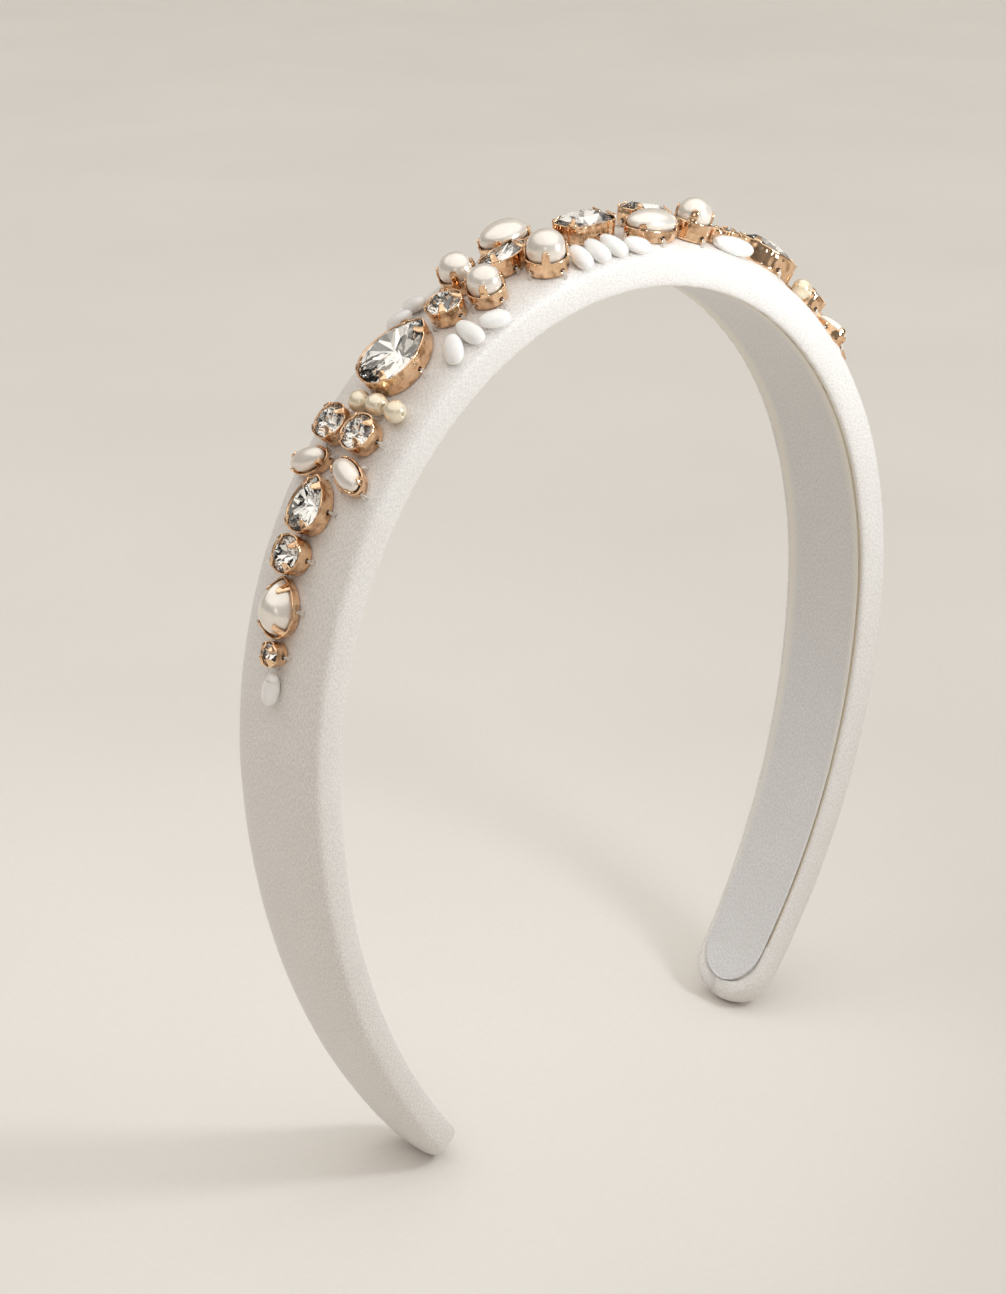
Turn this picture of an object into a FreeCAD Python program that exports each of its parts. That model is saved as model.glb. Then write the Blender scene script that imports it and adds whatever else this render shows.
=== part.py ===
"""A padded satin headband with a beaded crown, as separate pieces.

The inner curve of the arch lies in the XZ plane. A place on the band is given by its run, the distance
along the inner curve from the crown (positive towards +X), and by its y across the band. Millimetres.
"""
import FreeCAD, Part
import math
import os

from FreeCAD import Placement, Rotation, Vector

SIZES = {
    # the inner curve of one leg, from the crown to the tip, as tangent arcs
    "crown_arc_radius": 60.0,
    "crown_arc_turn": 40.5,
    "shoulder_arc_radius": 67.5,
    "shoulder_arc_turn": 29.0,
    "side_arc_radius": 81.0,
    "side_arc_turn": 20.5,
    "leg_arc_radius": 126.0,
    "leg_arc_turn": 39.0,
    # the band's width and thickness
    "crown_half_width": 10.7,
    "middle_half_width": 10.5,
    "tip_half_width": 8.2,
    "crown_thickness": 7.2,
    "tip_thickness": 5.6,
    "dome_rise": 0.5,
    "tip_rounding": 8.0,
    "station_step": 8.0,
    # the layers, from the head outwards
    "lining_thickness": 0.45,
    "lining_inset": 2.1,
    "lining_end_gap": 5.0,
    "cover_wall": 0.35,
    "cover_seam_gap": 1.0,
    "core_thickness": 1.4,
    "core_inset": 2.6,
    "core_lift": 0.3,
    "core_end_gap": 3.0,
    "foam_inset": 0.3,
    "layer_clearance": 0.03,
    "seam_end_gap": 14.0,
    # sewn-on cups
    "cup_wall": 0.35,
    "cup_base": 0.3,
    "stone_gap": 0.05,
    "claw_width": 0.9,
    "claw_thickness": 0.3,
    "claw_reach": 1.1,
    "claw_extra_lean": 4.0,
    "claw_overhang": 0.23,
    "claw_lift": 0.12,
    "claw_sink": 0.15,
    "claw_tail": 0.25,
    "pearl_claw_share": 0.2,
    "sew_hole_radius": 0.4,
    "sew_hole_height": 1.0,
    "thread_radius": 0.14,
    "stitch_radius": 0.8,
    "seat_clearance": 0.03,
    # cut stones
    "crown_slope": 35.0,
    "table_scale": 0.55,
    "girdle_height": 0.3,
    "girdle_drop": 0.05,
    "crown_swell": 0.55,
    "octagon_corner": 0.82,
    "culet_gap": 0.3,
    # each stone's length, width and cup height
    "chaton_length": 5.8,
    "chaton_width": 5.8,
    "chaton_cup": 3.1,
    "mini_chaton_length": 3.5,
    "mini_chaton_width": 3.5,
    "mini_chaton_cup": 2.4,
    "pear_length": 9.0,
    "pear_width": 6.6,
    "pear_cup": 3.1,
    "grand_pear_length": 13.4,
    "grand_pear_width": 10.0,
    "grand_pear_cup": 3.6,
    "marquise_length": 9.8,
    "marquise_width": 4.6,
    "marquise_cup": 3.2,
    "octagon_length": 9.8,
    "octagon_width": 6.8,
    "octagon_cup": 3.2,
    "oval_length": 9.6,
    "oval_width": 7.4,
    "oval_cup": 3.2,
    "baguette_length": 4.2,
    "baguette_width": 3.0,
    "baguette_cup": 3.0,
    # mounted pearls: how far they rise from their cups, as shares of their widths
    "pearl_lift_share": 0.3,
    "oval_pearl_height_share": 0.72,
    "drop_dome_share": 0.42,
    # each mounted pearl's length, width and cup height
    "drop_pearl_length": 9.4,
    "drop_pearl_width": 7.0,
    "drop_pearl_cup": 1.9,
    "rice_pearl_length": 7.0,
    "rice_pearl_width": 4.0,
    "rice_pearl_cup": 1.9,
    "round_pearl_length": 5.8,
    "round_pearl_width": 5.8,
    "round_pearl_cup": 2.6,
    "tall_pearl_length": 6.0,
    "tall_pearl_width": 6.0,
    "tall_pearl_cup": 3.4,
    "button_pearl_length": 6.6,
    "button_pearl_width": 6.6,
    "button_pearl_cup": 2.8,
    "oval_pearl_length": 9.2,
    "oval_pearl_width": 7.0,
    "oval_pearl_cup": 2.15,
    "short_pearl_length": 10.0,
    "short_pearl_width": 6.0,
    "short_pearl_cup": 2.2,
    # loose beads that the thread runs through
    "bead_pearl_radius": 1.85,
    "bead_hole_radius": 0.35,
    "petal_half_length": 2.7,
    "petal_half_width": 1.5,
    "petal_half_thickness": 1.1,
    "long_petal_half_length": 4.4,
    "petal_hole_share": 0.55,
}

ARCS = ["crown_arc", "shoulder_arc", "side_arc", "leg_arc"]
TOP_SQUARENESS = 3.6
LOW_SQUARENESS = 5.0
STRIP_SQUARENESS = 8.0
SECTION_POINTS = 14
TIP_ANGLES = [15, 30, 45, 58, 70, 79, 86]
DOME_ANGLES = [0, 15, 30, 45, 58, 70, 80, 87]
FACETS = 8

# Cups in the order they are sewn on: name, kind of stone, then each one's run, y and turn in degrees.
# At no turn the stone's long side lies along the band and its point, if any, faces +X.
CRYSTALS = [
    ("left_end_chaton", "mini_chaton", [(-85.2, -1.0, 0)]),
    ("left_lower_chaton", "chaton", [(-71.0, 0.0, 0)]),
    ("left_pear", "pear", [(-63.6, -0.4, 0)]),
    ("left_twin_chatons", "chaton", [(-52.0, -3.5, 0), (-51.8, 3.2, 0)]),
    ("left_grand_pear", "grand_pear", [(-39.4, -0.6, -5)]),
    ("left_upper_chaton", "chaton", [(-29.4, -1.0, 0)]),
    ("left_marquise", "marquise", [(-17.2, -0.3, 0)]),
    ("centre_chaton", "mini_chaton", [(-9.7, -1.1, 0)]),
    ("centre_octagon", "octagon", [(-2.0, -0.9, 0)]),
    ("right_oval", "oval", [(13.0, 2.4, 0)]),
    ("right_upper_chaton", "mini_chaton", [(23.1, -3.6, 0)]),
    ("right_baguette", "baguette", [(27.4, -3.0, 0)]),
    ("right_grand_pear", "grand_pear", [(35.9, -2.4, 180)]),
    ("right_twin_chatons", "chaton", [(48.0, -4.3, 0), (47.8, 2.5, 0)]),
    ("right_pear", "pear", [(60.6, -1.0, 180)]),
    ("right_lower_chaton", "chaton", [(68.3, -0.8, 0)]),
    ("right_end_chaton", "mini_chaton", [(85.2, -1.0, 0)]),
]
PEARLS = [
    ("left_drop", "drop_pearl", [(-78.5, -0.2, 4)]),
    ("left_rice", "rice_pearl", [(-58.0, -5.1, 62), (-57.8, 4.3, 118)]),
    ("left_round", "round_pearl", [(-24.1, -4.4, 0), (-23.3, 3.0, 0)]),
    ("left_button", "button_pearl", [(-13.9, -6.2, 0)]),
    ("left_oval", "oval_pearl", [(-12.2, 5.4, 0)]),
    ("right_short", "short_pearl", [(6.8, -6.2, -3)]),
    ("right_tall", "tall_pearl", [(15.4, -5.9, 0)]),
    ("right_rice", "rice_pearl", [(54.6, -5.6, -62), (54.6, 3.7, -118)]),
    ("right_drop", "drop_pearl", [(78.5, -0.4, 180)]),
]
# Threaded pearl beads: run and y.
BEAD_PEARLS = [
    (-47.2, -6.9), (-47.2, -3.0), (-47.5, 0.8),
    (43.4, -6.6), (43.6, -0.9), (43.0, 3.4),
]
# White petal beads: run, y and the direction that the drilled end points away from.
PETALS = [
    (-90.4, -1.2, 180),
    (-35.0, -7.9, 225), (-31.4, -8.0, 268), (-27.6, -9.2, 335),
    (-33.2, 6.6, 125), (-29.6, 6.8, 95),
    (-9.3, -8.4, 262), (-6.0, -8.4, 274), (-2.7, -8.4, 286), (1.1, -9.4, 342),
    (5.8, 5.0, 75),
    (90.4, -1.2, 0),
]
LONG_PETALS = [(23.3, -8.1, 354), (24.6, 3.2, 8)]

doc = FreeCAD.newDocument("headband")
sheet = doc.addObject("Spreadsheet::Sheet", "sizes")
nodes = []


def fill_sheet():
    """Write every driving dimension into the sheet under its own alias."""
    for row, (alias, value) in enumerate(SIZES.items(), start=1):
        sheet.set(f"A{row}", alias)
        sheet.set(f"B{row}", str(value))
        sheet.setAlias(f"B{row}", alias)
    doc.recompute()


def size(alias):
    """The sheet's present value of one dimension."""
    return float(getattr(sheet, alias))


def bind(item, **expressions):
    """Bind properties of a document object to expressions in the sheet's aliases."""
    for name, expression in expressions.items():
        item.setExpression(name.replace("__", "."), expression)
    return item


def add_node(item, label, placement=None):
    """Name a finished sub-part and put it in its place."""
    item.Label = label
    if placement is not None:
        item.Placement = placement
    nodes.append(item)


# ---- the arch ----

def inner_point(run):
    """X, Z below the crown and turn of the inner curve at a run. The leg arc goes on past the tip."""
    left = abs(run)
    x = 0.0
    z = 0.0
    turn = 0.0
    for arc in ARCS:
        radius = size(arc + "_radius")
        step = left / radius
        if arc != ARCS[-1]:
            step = min(step, math.radians(size(arc + "_turn")))
        x += radius * (math.sin(turn + step) - math.sin(turn))
        z += radius * (math.cos(turn + step) - math.cos(turn))
        turn += step
        left -= step * radius
    side = math.copysign(1.0, run)
    return side * x, z, side * turn


def half_length():
    """Length of the inner curve from the crown to one tip."""
    return sum(size(arc + "_radius") * math.radians(size(arc + "_turn")) for arc in ARCS)


def half_width(run):
    """Half the band's width, a parabola through its crown, middle and tip values."""
    u = abs(run) / half_length()
    crown = size("crown_half_width") * (1 - u) * (1 - 2 * u)
    middle = size("middle_half_width") * 4 * u * (1 - u)
    return crown + middle + size("tip_half_width") * u * (2 * u - 1)


def edge_thickness(run):
    """Height of the band's shoulders over the inner curve, thinner towards the tips."""
    u = abs(run) / half_length()
    return size("crown_thickness") + (size("tip_thickness") - size("crown_thickness")) * u * u


def tip_factor(run, end_gap):
    """How far the outline has closed in, from 1 along the leg to nearly 0 at the rounded tip."""
    start = half_length() - end_gap - size("tip_rounding")
    share = max(0.0, (abs(run) - start) / size("tip_rounding"))
    return math.sqrt(max(0.0, 1 - share ** 2.2)), math.sqrt(max(0.0, 1 - share ** 8))


def stations(end_gap):
    """Runs of a strip's sections, even along the legs and closer where the tips round off."""
    rounding = size("tip_rounding")
    straight = half_length() - end_gap - rounding
    count = math.ceil(straight / size("station_step"))
    runs = [straight * i / count for i in range(count + 1)]
    runs += [straight + rounding * math.sin(math.radians(angle)) for angle in TIP_ANGLES]
    return [-run for run in reversed(runs[1:])] + runs


def place_on_arch(run, y, height):
    """The point at a height over the inner curve."""
    x, z, turn = inner_point(run)
    return Vector(x + height * math.sin(turn), y, z + height * math.cos(turn))


def section(run, margin, low, high, dome, end_gap, squareness):
    """Closed wire of one strip's section: a rounded rectangle with its own top and bottom squareness."""
    narrow, thin = tip_factor(run, end_gap)
    half = (half_width(run) - margin) * narrow
    middle = (low + high) / 2
    edges = []
    halves = [
        ((high - middle) * thin, 2 / squareness[0], 1),
        (middle - low, 2 / squareness[1], -1),
    ]
    for rise, power, side in halves:
        points = []
        for i in range(SECTION_POINTS + 1):
            along = side * math.cos(math.pi * i / SECTION_POINTS)
            up = math.sin(math.pi * i / SECTION_POINTS) ** power if 0 < i < SECTION_POINTS else 0.0
            y = half * math.copysign(abs(along) ** power, along)
            height = middle + side * rise * up
            if side > 0:
                height += dome * up * (1 - (y / half) ** 2)
            points.append(place_on_arch(run, y, height))
        curve = Part.BSplineCurve()
        curve.interpolate(Points=points)
        edges.append(curve.toShape())
    return Part.Wire(edges)


def strip(name, margin, low, high, dome=0.0, end_gap=0.0, squareness=(STRIP_SQUARENESS,) * 2):
    """A strip that follows the arch. low and high are functions of the run."""
    wires = []
    for run in stations(end_gap):
        wires.append(section(run, margin, low(run), high(run), dome, end_gap, squareness))
    item = doc.addObject("Part::Feature", name)
    item.Shape = Part.makeLoft(wires, True, False)
    return item


def cover_low():
    return size("lining_thickness")


def core_low():
    return cover_low() + size("cover_wall") + size("core_lift")


def core_top():
    return core_low() + size("core_thickness")


def boolean(kind, base, tool):
    """A cut or a common of two objects."""
    item = doc.addObject(kind, "boolean")
    item.Base = base
    item.Tool = tool
    return item


def build_band():
    """Core strip, foam pad, satin cover and lining."""
    wall = size("cover_wall")
    gap = size("layer_clearance")
    rounded = (TOP_SQUARENESS, LOW_SQUARENESS)
    core = strip("core", size("core_inset"), lambda run: core_low(), lambda run: core_top(),
                 end_gap=size("core_end_gap"))
    outside = strip("cover_outside", 0.0, lambda run: cover_low(), edge_thickness, size("dome_rise"),
                    squareness=rounded)
    inside = strip("cover_inside", wall, lambda run: cover_low() + wall,
                   lambda run: edge_thickness(run) - wall, size("dome_rise"), wall, rounded)
    foam = strip("foam", wall + size("foam_inset"), lambda run: core_top() + gap,
                 lambda run: edge_thickness(run) - wall - gap, size("dome_rise"), wall + gap, rounded)
    seam = strip("seam", size("crown_half_width") - size("cover_seam_gap"), lambda run: -wall,
                 lambda run: cover_low() + 2 * wall, end_gap=size("seam_end_gap"))
    lining = strip("lining", size("lining_inset"), lambda run: 0.0, lambda run: cover_low() - gap,
                   end_gap=size("lining_end_gap"))
    hollow = boolean("Part::Cut", outside, inside)
    add_node(core, "core_band", lifted())
    add_node(foam, "foam_pad", lifted())
    add_node(boolean("Part::Cut", hollow, seam), "satin_cover", lifted())
    add_node(lining, "lining_strip", lifted())


def outer_height(run, y):
    """Height of the satin over the inner curve at a place across the band."""
    share = min(abs(y) / half_width(run), 0.999)
    rise = (1 - share ** TOP_SQUARENESS) ** (1 / TOP_SQUARENESS)
    middle = (cover_low() + edge_thickness(run)) / 2
    return middle + (edge_thickness(run) - middle) * rise + size("dome_rise") * rise * (1 - share ** 2)


def floor_level():
    """Depth of the tips' lowest point below the crown of the inner curve."""
    depths = []
    for run in stations(0.0):
        thin = tip_factor(run, 0.0)[1]
        middle = (cover_low() + edge_thickness(run)) / 2
        top = middle + (edge_thickness(run) - middle) * thin + size("dome_rise")
        depths.append(place_on_arch(run, 0.0, top).z)
    return min(depths)


def lifted(x=0.0, y=0.0, z=0.0, rotation=Rotation()):
    """A placement with the tips' lowest point at Z = 0."""
    return Placement(Vector(x, y, z - floor_level()), rotation)


def seat(run, y, turn):
    """Where a piece sits on the satin: z out of the surface, x along the band before the turn."""
    step = 0.05
    slope = (outer_height(run, y + step) - outer_height(run, y - step)) / (2 * step)
    arch_turn = math.degrees(inner_point(run)[2])
    rotation = Rotation(Vector(0, 1, 0), arch_turn)
    rotation = rotation.multiply(Rotation(Vector(1, 0, 0), math.degrees(math.atan(slope))))
    normal = rotation.multVec(Vector(0, 0, 1))
    base = place_on_arch(run, y, outer_height(run, y)) + normal * size("seat_clearance")
    rotation = rotation.multiply(Rotation(Vector(0, 0, 1), turn))
    return lifted(base.x, base.y, base.z, rotation)


# ---- outlines of stones and cups ----

def shape_of(kind):
    """The outline that a kind of stone has."""
    for word in ("pear", "marquise", "octagon", "baguette", "oval"):
        if kind.endswith(word):
            return word
    if kind == "drop_pearl":
        return "pear"
    if kind in ("rice_pearl", "oval_pearl", "short_pearl"):
        return "oval"
    return "round"


def prism(kind, grow, height, base):
    """An upright solid over a stone's outline, grown outwards. All sizes are expressions."""
    length = f"(sizes.{kind}_length + 2 * ({grow}))"
    width = f"(sizes.{kind}_width + 2 * ({grow}))"
    return PRISMS[shape_of(kind)](length, width, height, base)


def round_prism(length, width, height, base):
    item = doc.addObject("Part::Cylinder", "round")
    return bind(item, Radius=f"{width} / 2", Height=height, Placement__Base__z=base)


def oval_prism(length, width, height, base):
    ellipse = doc.addObject("Part::Ellipse", "ellipse")
    bind(ellipse, MajorRadius=f"{length} / 2", MinorRadius=f"{width} / 2", Placement__Base__z=base)
    item = doc.addObject("Part::Extrusion", "oval")
    item.Base = ellipse
    item.DirMode = "Custom"
    item.Dir = Vector(0, 0, 1)
    item.Solid = True
    return bind(item, LengthFwd=height)


def box_prism(length, width, height, base):
    item = doc.addObject("Part::Box", "box")
    return bind(item, Length=length, Width=width, Height=height, Placement__Base__x=f"-{length} / 2",
                Placement__Base__y=f"-{width} / 2", Placement__Base__z=base)


def octagon_prism(length, width, height, base):
    """A rectangle whose corners a square set at 45 degrees cuts off."""
    reach = f"({length} + {width}) * sizes.octagon_corner / 2"
    square = doc.addObject("Part::Box", "corner_cut")
    square.Placement = Placement(Vector(0, 0, 0), Rotation(Vector(0, 0, 1), 45))
    bind(square, Length=f"{reach} * sqrt(2)", Width=f"{reach} * sqrt(2)", Height=height,
         Placement__Base__y=f"-{reach}", Placement__Base__z=base)
    return common([box_prism(length, width, height, base), square])


def side_arcs(radius, offset, height, base):
    """The lens between two large circles set apart across the stone."""
    arcs = []
    for sign in ("", "-"):
        item = doc.addObject("Part::Cylinder", "side_arc")
        bind(item, Radius=radius, Height=height, Placement__Base__y=f"{sign}({offset})",
             Placement__Base__z=base)
        arcs.append(item)
    return arcs


def marquise_prism(length, width, height, base):
    radius = f"({length} ^ 2 + {width} ^ 2) / (4 * {width})"
    return common(side_arcs(radius, f"{radius} - {width} / 2", height, base))


def pear_prism(length, width, height, base):
    """A round head and a point whose sides leave the head at its widest line."""
    point = f"({length} - {width} / 2)"
    centre = f"({width} - {length}) / 2"
    radius = f"({point} ^ 2 + {width} ^ 2 / 4) / {width}"
    arcs = side_arcs(radius, f"{radius} - {width} / 2", height, base)
    for item in arcs:
        bind(item, Placement__Base__x=centre)
    half = doc.addObject("Part::Box", "point_half")
    bind(half, Length=length, Width=f"2 * {width}", Height=height, Placement__Base__x=centre,
         Placement__Base__y=f"-{width}", Placement__Base__z=base)
    head = doc.addObject("Part::Cylinder", "head")
    bind(head, Radius=f"{width} / 2", Height=height, Placement__Base__x=centre, Placement__Base__z=base)
    return fuse([head, common(arcs + [half])])


def common(items):
    item = doc.addObject("Part::MultiCommon", "common")
    item.Shapes = items
    return item


def fuse(items):
    item = doc.addObject("Part::MultiFuse", "fuse")
    item.Shapes = items
    item.Refine = True
    return item


PRISMS = {
    "round": round_prism,
    "oval": oval_prism,
    "baguette": box_prism,
    "octagon": octagon_prism,
    "marquise": marquise_prism,
    "pear": pear_prism,
}


def outline_point(kind, angle, grow=0.0):
    """A point of a stone's outline. The angle runs round an ellipse of the stone's length and width."""
    length = size(kind + "_length") / 2 + grow
    width = size(kind + "_width") / 2 + grow
    across = math.sin(angle)
    along = math.cos(angle)
    form = shape_of(kind)
    if form in ("round", "oval"):
        return length * along, width * across
    ray = math.atan2(width * across, length * along)
    dx = math.cos(ray)
    dy = abs(math.sin(ray))
    flat = length / max(abs(dx), 1e-9)
    side = width / max(dy, 1e-9)
    if form == "baguette":
        reach = min(flat, side)
    elif form == "octagon":
        reach = min(flat, side, (length + width) * size("octagon_corner") / (abs(dx) + dy))
    else:
        centre = width - length if form == "pear" else 0.0
        point = length - centre
        radius = (point ** 2 + width ** 2) / (2 * width)
        reach = ray_to_circle(dx, dy, centre, width - radius, radius)
        if form == "pear" and reach * dx < centre:
            reach = ray_to_circle(dx, dy, centre, 0.0, width)
    return reach * dx, math.copysign(reach * dy, across)


def ray_to_circle(dx, dy, centre_x, centre_y, radius):
    """How far a ray from the origin runs before it leaves a circle."""
    along = dx * centre_x + dy * centre_y
    return along + math.sqrt(along ** 2 + radius ** 2 - centre_x ** 2 - centre_y ** 2)


def outward(kind, angle):
    """The outline's outward direction at an angle."""
    step = 0.02
    ahead = Vector(*outline_point(kind, angle + step), 0)
    behind = Vector(*outline_point(kind, angle - step), 0)
    tangent = (ahead - behind).normalize()
    return tangent.cross(Vector(0, 0, 1))


CLAW_ANGLES = {
    "round": [45, 135, 225, 315],
    "oval": [40, 140, 220, 320],
    "marquise": [48, 132, 228, 312],
    "octagon": [32, 148, 212, 328],
    "baguette": [62, 118, 242, 298],
    "pear": [32, 140, 220, 328],
}


def claws(kind, leaning):
    """Four claws round a cup: upright tabs on the wall, and tips that lean over a cut stone's crown."""
    items = []
    lean = math.radians(size("crown_slope") + size("claw_extra_lean"))
    width = size("claw_width")
    grip = size("cup_wall") + size("stone_gap")
    reach = grip + size("claw_overhang")
    sink = size("claw_sink")
    upright = f"sizes.{kind}_cup"
    if not leaning:
        upright += f" + sizes.pearl_claw_share * sizes.{kind}_width"
    for degrees in CLAW_ANGLES[shape_of(kind)]:
        angle = math.radians(degrees)
        out = outward(kind, angle)
        across = Vector(0, 0, 1).cross(out)
        edge = Vector(*outline_point(kind, angle), 0)
        corner = edge + out * (grip - sink) - across * (width / 2)
        tab = doc.addObject("Part::Box", "claw_tab")
        tab.Placement = Placement(corner, Rotation(out, across, Vector(0, 0, 1), "XZY"))
        bind(tab, Length="sizes.claw_thickness + sizes.claw_sink", Width="sizes.claw_width", Height=upright)
        items.append(tab)
        if leaning:
            inward = out * -math.cos(lean) + Vector(0, 0, math.sin(lean))
            normal = out * math.sin(lean) + Vector(0, 0, math.cos(lean))
            girdle = size(kind + "_cup") - size("girdle_drop")
            start = girdle + size("claw_lift") - reach * math.tan(lean)
            corner = edge + out * reach + across * (width / 2) + Vector(0, 0, start)
            tip = doc.addObject("Part::Box", "claw_tip")
            tip.Placement = Placement(corner, Rotation(inward, across * -1, normal, "XZY"))
            bind(tip, Length="sizes.claw_reach + sizes.claw_tail", Width="sizes.claw_width",
                 Height="sizes.claw_thickness")
            items.append(tip)
    return items


def sew_holes(kind):
    """Holes through the wall, low down, for the thread: one pair along the stone and one across it."""
    holes = []
    for axis, direction in (("length", Vector(1, 0, 0)), ("width", Vector(0, 1, 0))):
        span = 2 * size(f"{kind}_{axis}")
        item = doc.addObject("Part::Cylinder", "sew_hole")
        item.Placement = Placement(direction * (-span / 2) + Vector(0, 0, size("sew_hole_height")),
                                   Rotation(Vector(0, 0, 1), direction))
        item.Height = span
        holes.append(bind(item, Radius="sizes.sew_hole_radius"))
    return holes


def cup(kind, leaning):
    """One setting: a stamped cup with a floor, a thin wall, four claws and its sew holes."""
    wall = "sizes.cup_wall + sizes.stone_gap"
    outer = prism(kind, wall, f"sizes.{kind}_cup", "0")
    inner = prism(kind, "sizes.stone_gap", f"sizes.{kind}_cup", "sizes.cup_base")
    body = fuse([outer] + claws(kind, leaning))
    return boolean("Part::Cut", body, fuse([inner] + sew_holes(kind)))


# ---- stones ----

def main_angles(kind):
    """Directions of the outline's main corners, evenly round it or at a cut shape's own corners."""
    form = shape_of(kind)
    if form not in ("octagon", "baguette"):
        return [2 * math.pi * i / FACETS for i in range(FACETS)]
    length = size(kind + "_length") / 2
    width = size(kind + "_width") / 2
    if form == "baguette":
        corners = [(length, width), (0.0, width)]
    else:
        reach = (length + width) * size("octagon_corner")
        corners = [(length, reach - length), (reach - width, width)]
    first = [math.atan2(y / width, x / length) for x, y in corners]
    if form == "baguette":
        upper = [first[0], first[1], math.pi - first[0], math.pi]
        return upper + [first[0] - math.pi, -first[1], -first[0], 0.0]
    upper = first + [math.pi - angle for angle in reversed(first)]
    return upper + [-angle for angle in reversed(upper)]


def between(first, second):
    """The direction half way from one angle to the next, going round anticlockwise."""
    return first + ((second - first) % (2 * math.pi)) / 2


def cut_stone(kind):
    """A faceted stone: table, star and main crown facets, girdle, and a pointed back."""
    mains = main_angles(kind)
    middles = [between(mains[i], mains[(i + 1) % FACETS]) for i in range(FACETS)]
    girdle_top = size(kind + "_cup") - size("girdle_drop")
    girdle_low = girdle_top - size("girdle_height")
    share = size("table_scale")
    rise = (1 - share) * size(kind + "_width") / 2 * math.tan(math.radians(size("crown_slope")))

    def ring(angles, scale, z):
        points = [outline_point(kind, angle) for angle in angles]
        return [Vector(x * scale, y * scale, z) for x, y in points]

    table = ring(mains, share, girdle_top + rise)
    star = ring(middles, (1 + share) / 2, girdle_top + rise * size("crown_swell"))
    around = [angle for pair in zip(mains, middles) for angle in pair]
    upper = ring(around, 1.0, girdle_top)
    lower = ring(around, 1.0, girdle_low)
    culet = Vector(0, 0, size("cup_base") + size("culet_gap"))
    faces = [table]
    for i in range(FACETS):
        after = (i + 1) % FACETS
        corner = upper[2 * i]
        middle = upper[2 * i + 1]
        next_corner = upper[2 * after]
        faces += [[table[i], star[i], table[after]]]
        faces += [[table[i], star[i - 1], corner], [table[i], corner, star[i]]]
        faces += [[star[i], corner, middle], [star[i], middle, next_corner]]
    for j in range(2 * FACETS):
        after = (j + 1) % (2 * FACETS)
        faces += [[upper[j], lower[j], lower[after], upper[after]], [lower[j], culet, lower[after]]]
    return solid_from(faces)


def solid_from(faces):
    """A closed solid from flat polygons."""
    shell = Part.makeShell([Part.Face(Part.makePolygon(points + [points[0]])) for points in faces])
    solid = Part.makeSolid(shell)
    if solid.Volume < 0:
        solid.reverse()
    return solid


def crystal(kind):
    item = doc.addObject("Part::Feature", "crystal")
    item.Shape = cut_stone(kind)
    return item


def pear_wire(kind, scale, z):
    """The pear outline as arcs: two long sides to the point, and the round head."""
    point = Vector(*outline_point(kind, 0.0), 0) * scale
    width = size(kind + "_width")
    sides = []
    for sign in (1, -1):
        middle = Vector(*outline_point(kind, sign * math.pi / 4), 0) * scale
        shoulder = Vector((width - size(kind + "_length")) / 2, sign * width / 2, 0) * scale
        sides.append((point, middle, shoulder))
    left = Part.Arc(*sides[0]).toShape()
    right = Part.Arc(*reversed(sides[1])).toShape()
    head = Part.Arc(sides[0][2], Vector(*outline_point(kind, math.pi), 0) * scale, sides[1][2]).toShape()
    wire = Part.Wire([left, head, right])
    wire.translate(Vector(0, 0, z))
    return wire


def drop_cabochon(kind):
    """A pear-shaped pearl with a domed top, lofted through ever smaller outlines."""
    base = size("cup_base") + size("stone_gap")
    height = size(kind + "_cup") - base + size("drop_dome_share") * size(kind + "_width")
    wires = []
    for degrees in DOME_ANGLES:
        angle = math.radians(degrees)
        wires.append(pear_wire(kind, math.cos(angle), base + height * math.sin(angle)))
    item = doc.addObject("Part::Feature", "drop_pearl")
    item.Shape = Part.makeLoft(wires, True, False)
    return item


def pearl(kind):
    """A mounted pearl: a full ellipsoid, or a domed drop where the cup is pear-shaped."""
    if shape_of(kind) == "pear":
        return drop_cabochon(kind)
    item = doc.addObject("Part::Ellipsoid", "pearl")
    upright = f"sizes.{kind}_width / 2"
    if shape_of(kind) == "oval":
        upright += " * sizes.oval_pearl_height_share"
    return bind(item, Radius1=upright, Radius2=f"sizes.{kind}_length / 2", Radius3=f"sizes.{kind}_width / 2",
                Placement__Base__z=f"sizes.{kind}_cup + sizes.pearl_lift_share * {upright}")


def gather(items, label):
    """One node: a single solid, or several like ones kept together."""
    if len(items) == 1:
        add_node(items[0], label)
        return
    item = doc.addObject("Part::Compound", label)
    item.Links = items
    add_node(item, label)


def build_jewels(rows, word, stone, leaning):
    """The stones and the settings of each row, as two nodes."""
    for name, kind, places in rows:
        seats = [seat(*place) for place in places]
        gather([fixed(stone(kind), where) for where in seats], f"{name}_{word}")
        gather([fixed(cup(kind, leaning), where) for where in seats], f"{name}_setting")


def fixed(item, where):
    """Put a piece whose own placement is bound to the sheet inside a moved holder."""
    holder = doc.addObject("Part::Compound", "holder")
    holder.Links = [item]
    holder.Placement = where
    return holder


def drilled(solid, hole_x, direction, span):
    """A bead with its thread hole."""
    hole = doc.addObject("Part::Cylinder", "bead_hole")
    start = Vector(hole_x, 0, 0) - direction * (span / 2)
    hole.Placement = Placement(start, Rotation(Vector(0, 0, 1), direction))
    hole.Height = span
    bind(hole, Radius="sizes.bead_hole_radius")
    return boolean("Part::Cut", solid, hole)


def build_bead_pearls():
    """Small round pearls strung across the band, each on its own thread hole."""
    beads = []
    radius = size("bead_pearl_radius")
    for run, y in BEAD_PEARLS:
        ball = bind(doc.addObject("Part::Sphere", "ball"), Radius="sizes.bead_pearl_radius")
        bead = drilled(ball, 0.0, Vector(0, 1, 0), 4 * radius)
        bead.Placement = seat(run, y, 0).multiply(Placement(Vector(0, 0, radius), Rotation()))
        beads.append(bead)
    gather(beads, "bead_pearls")


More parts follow.
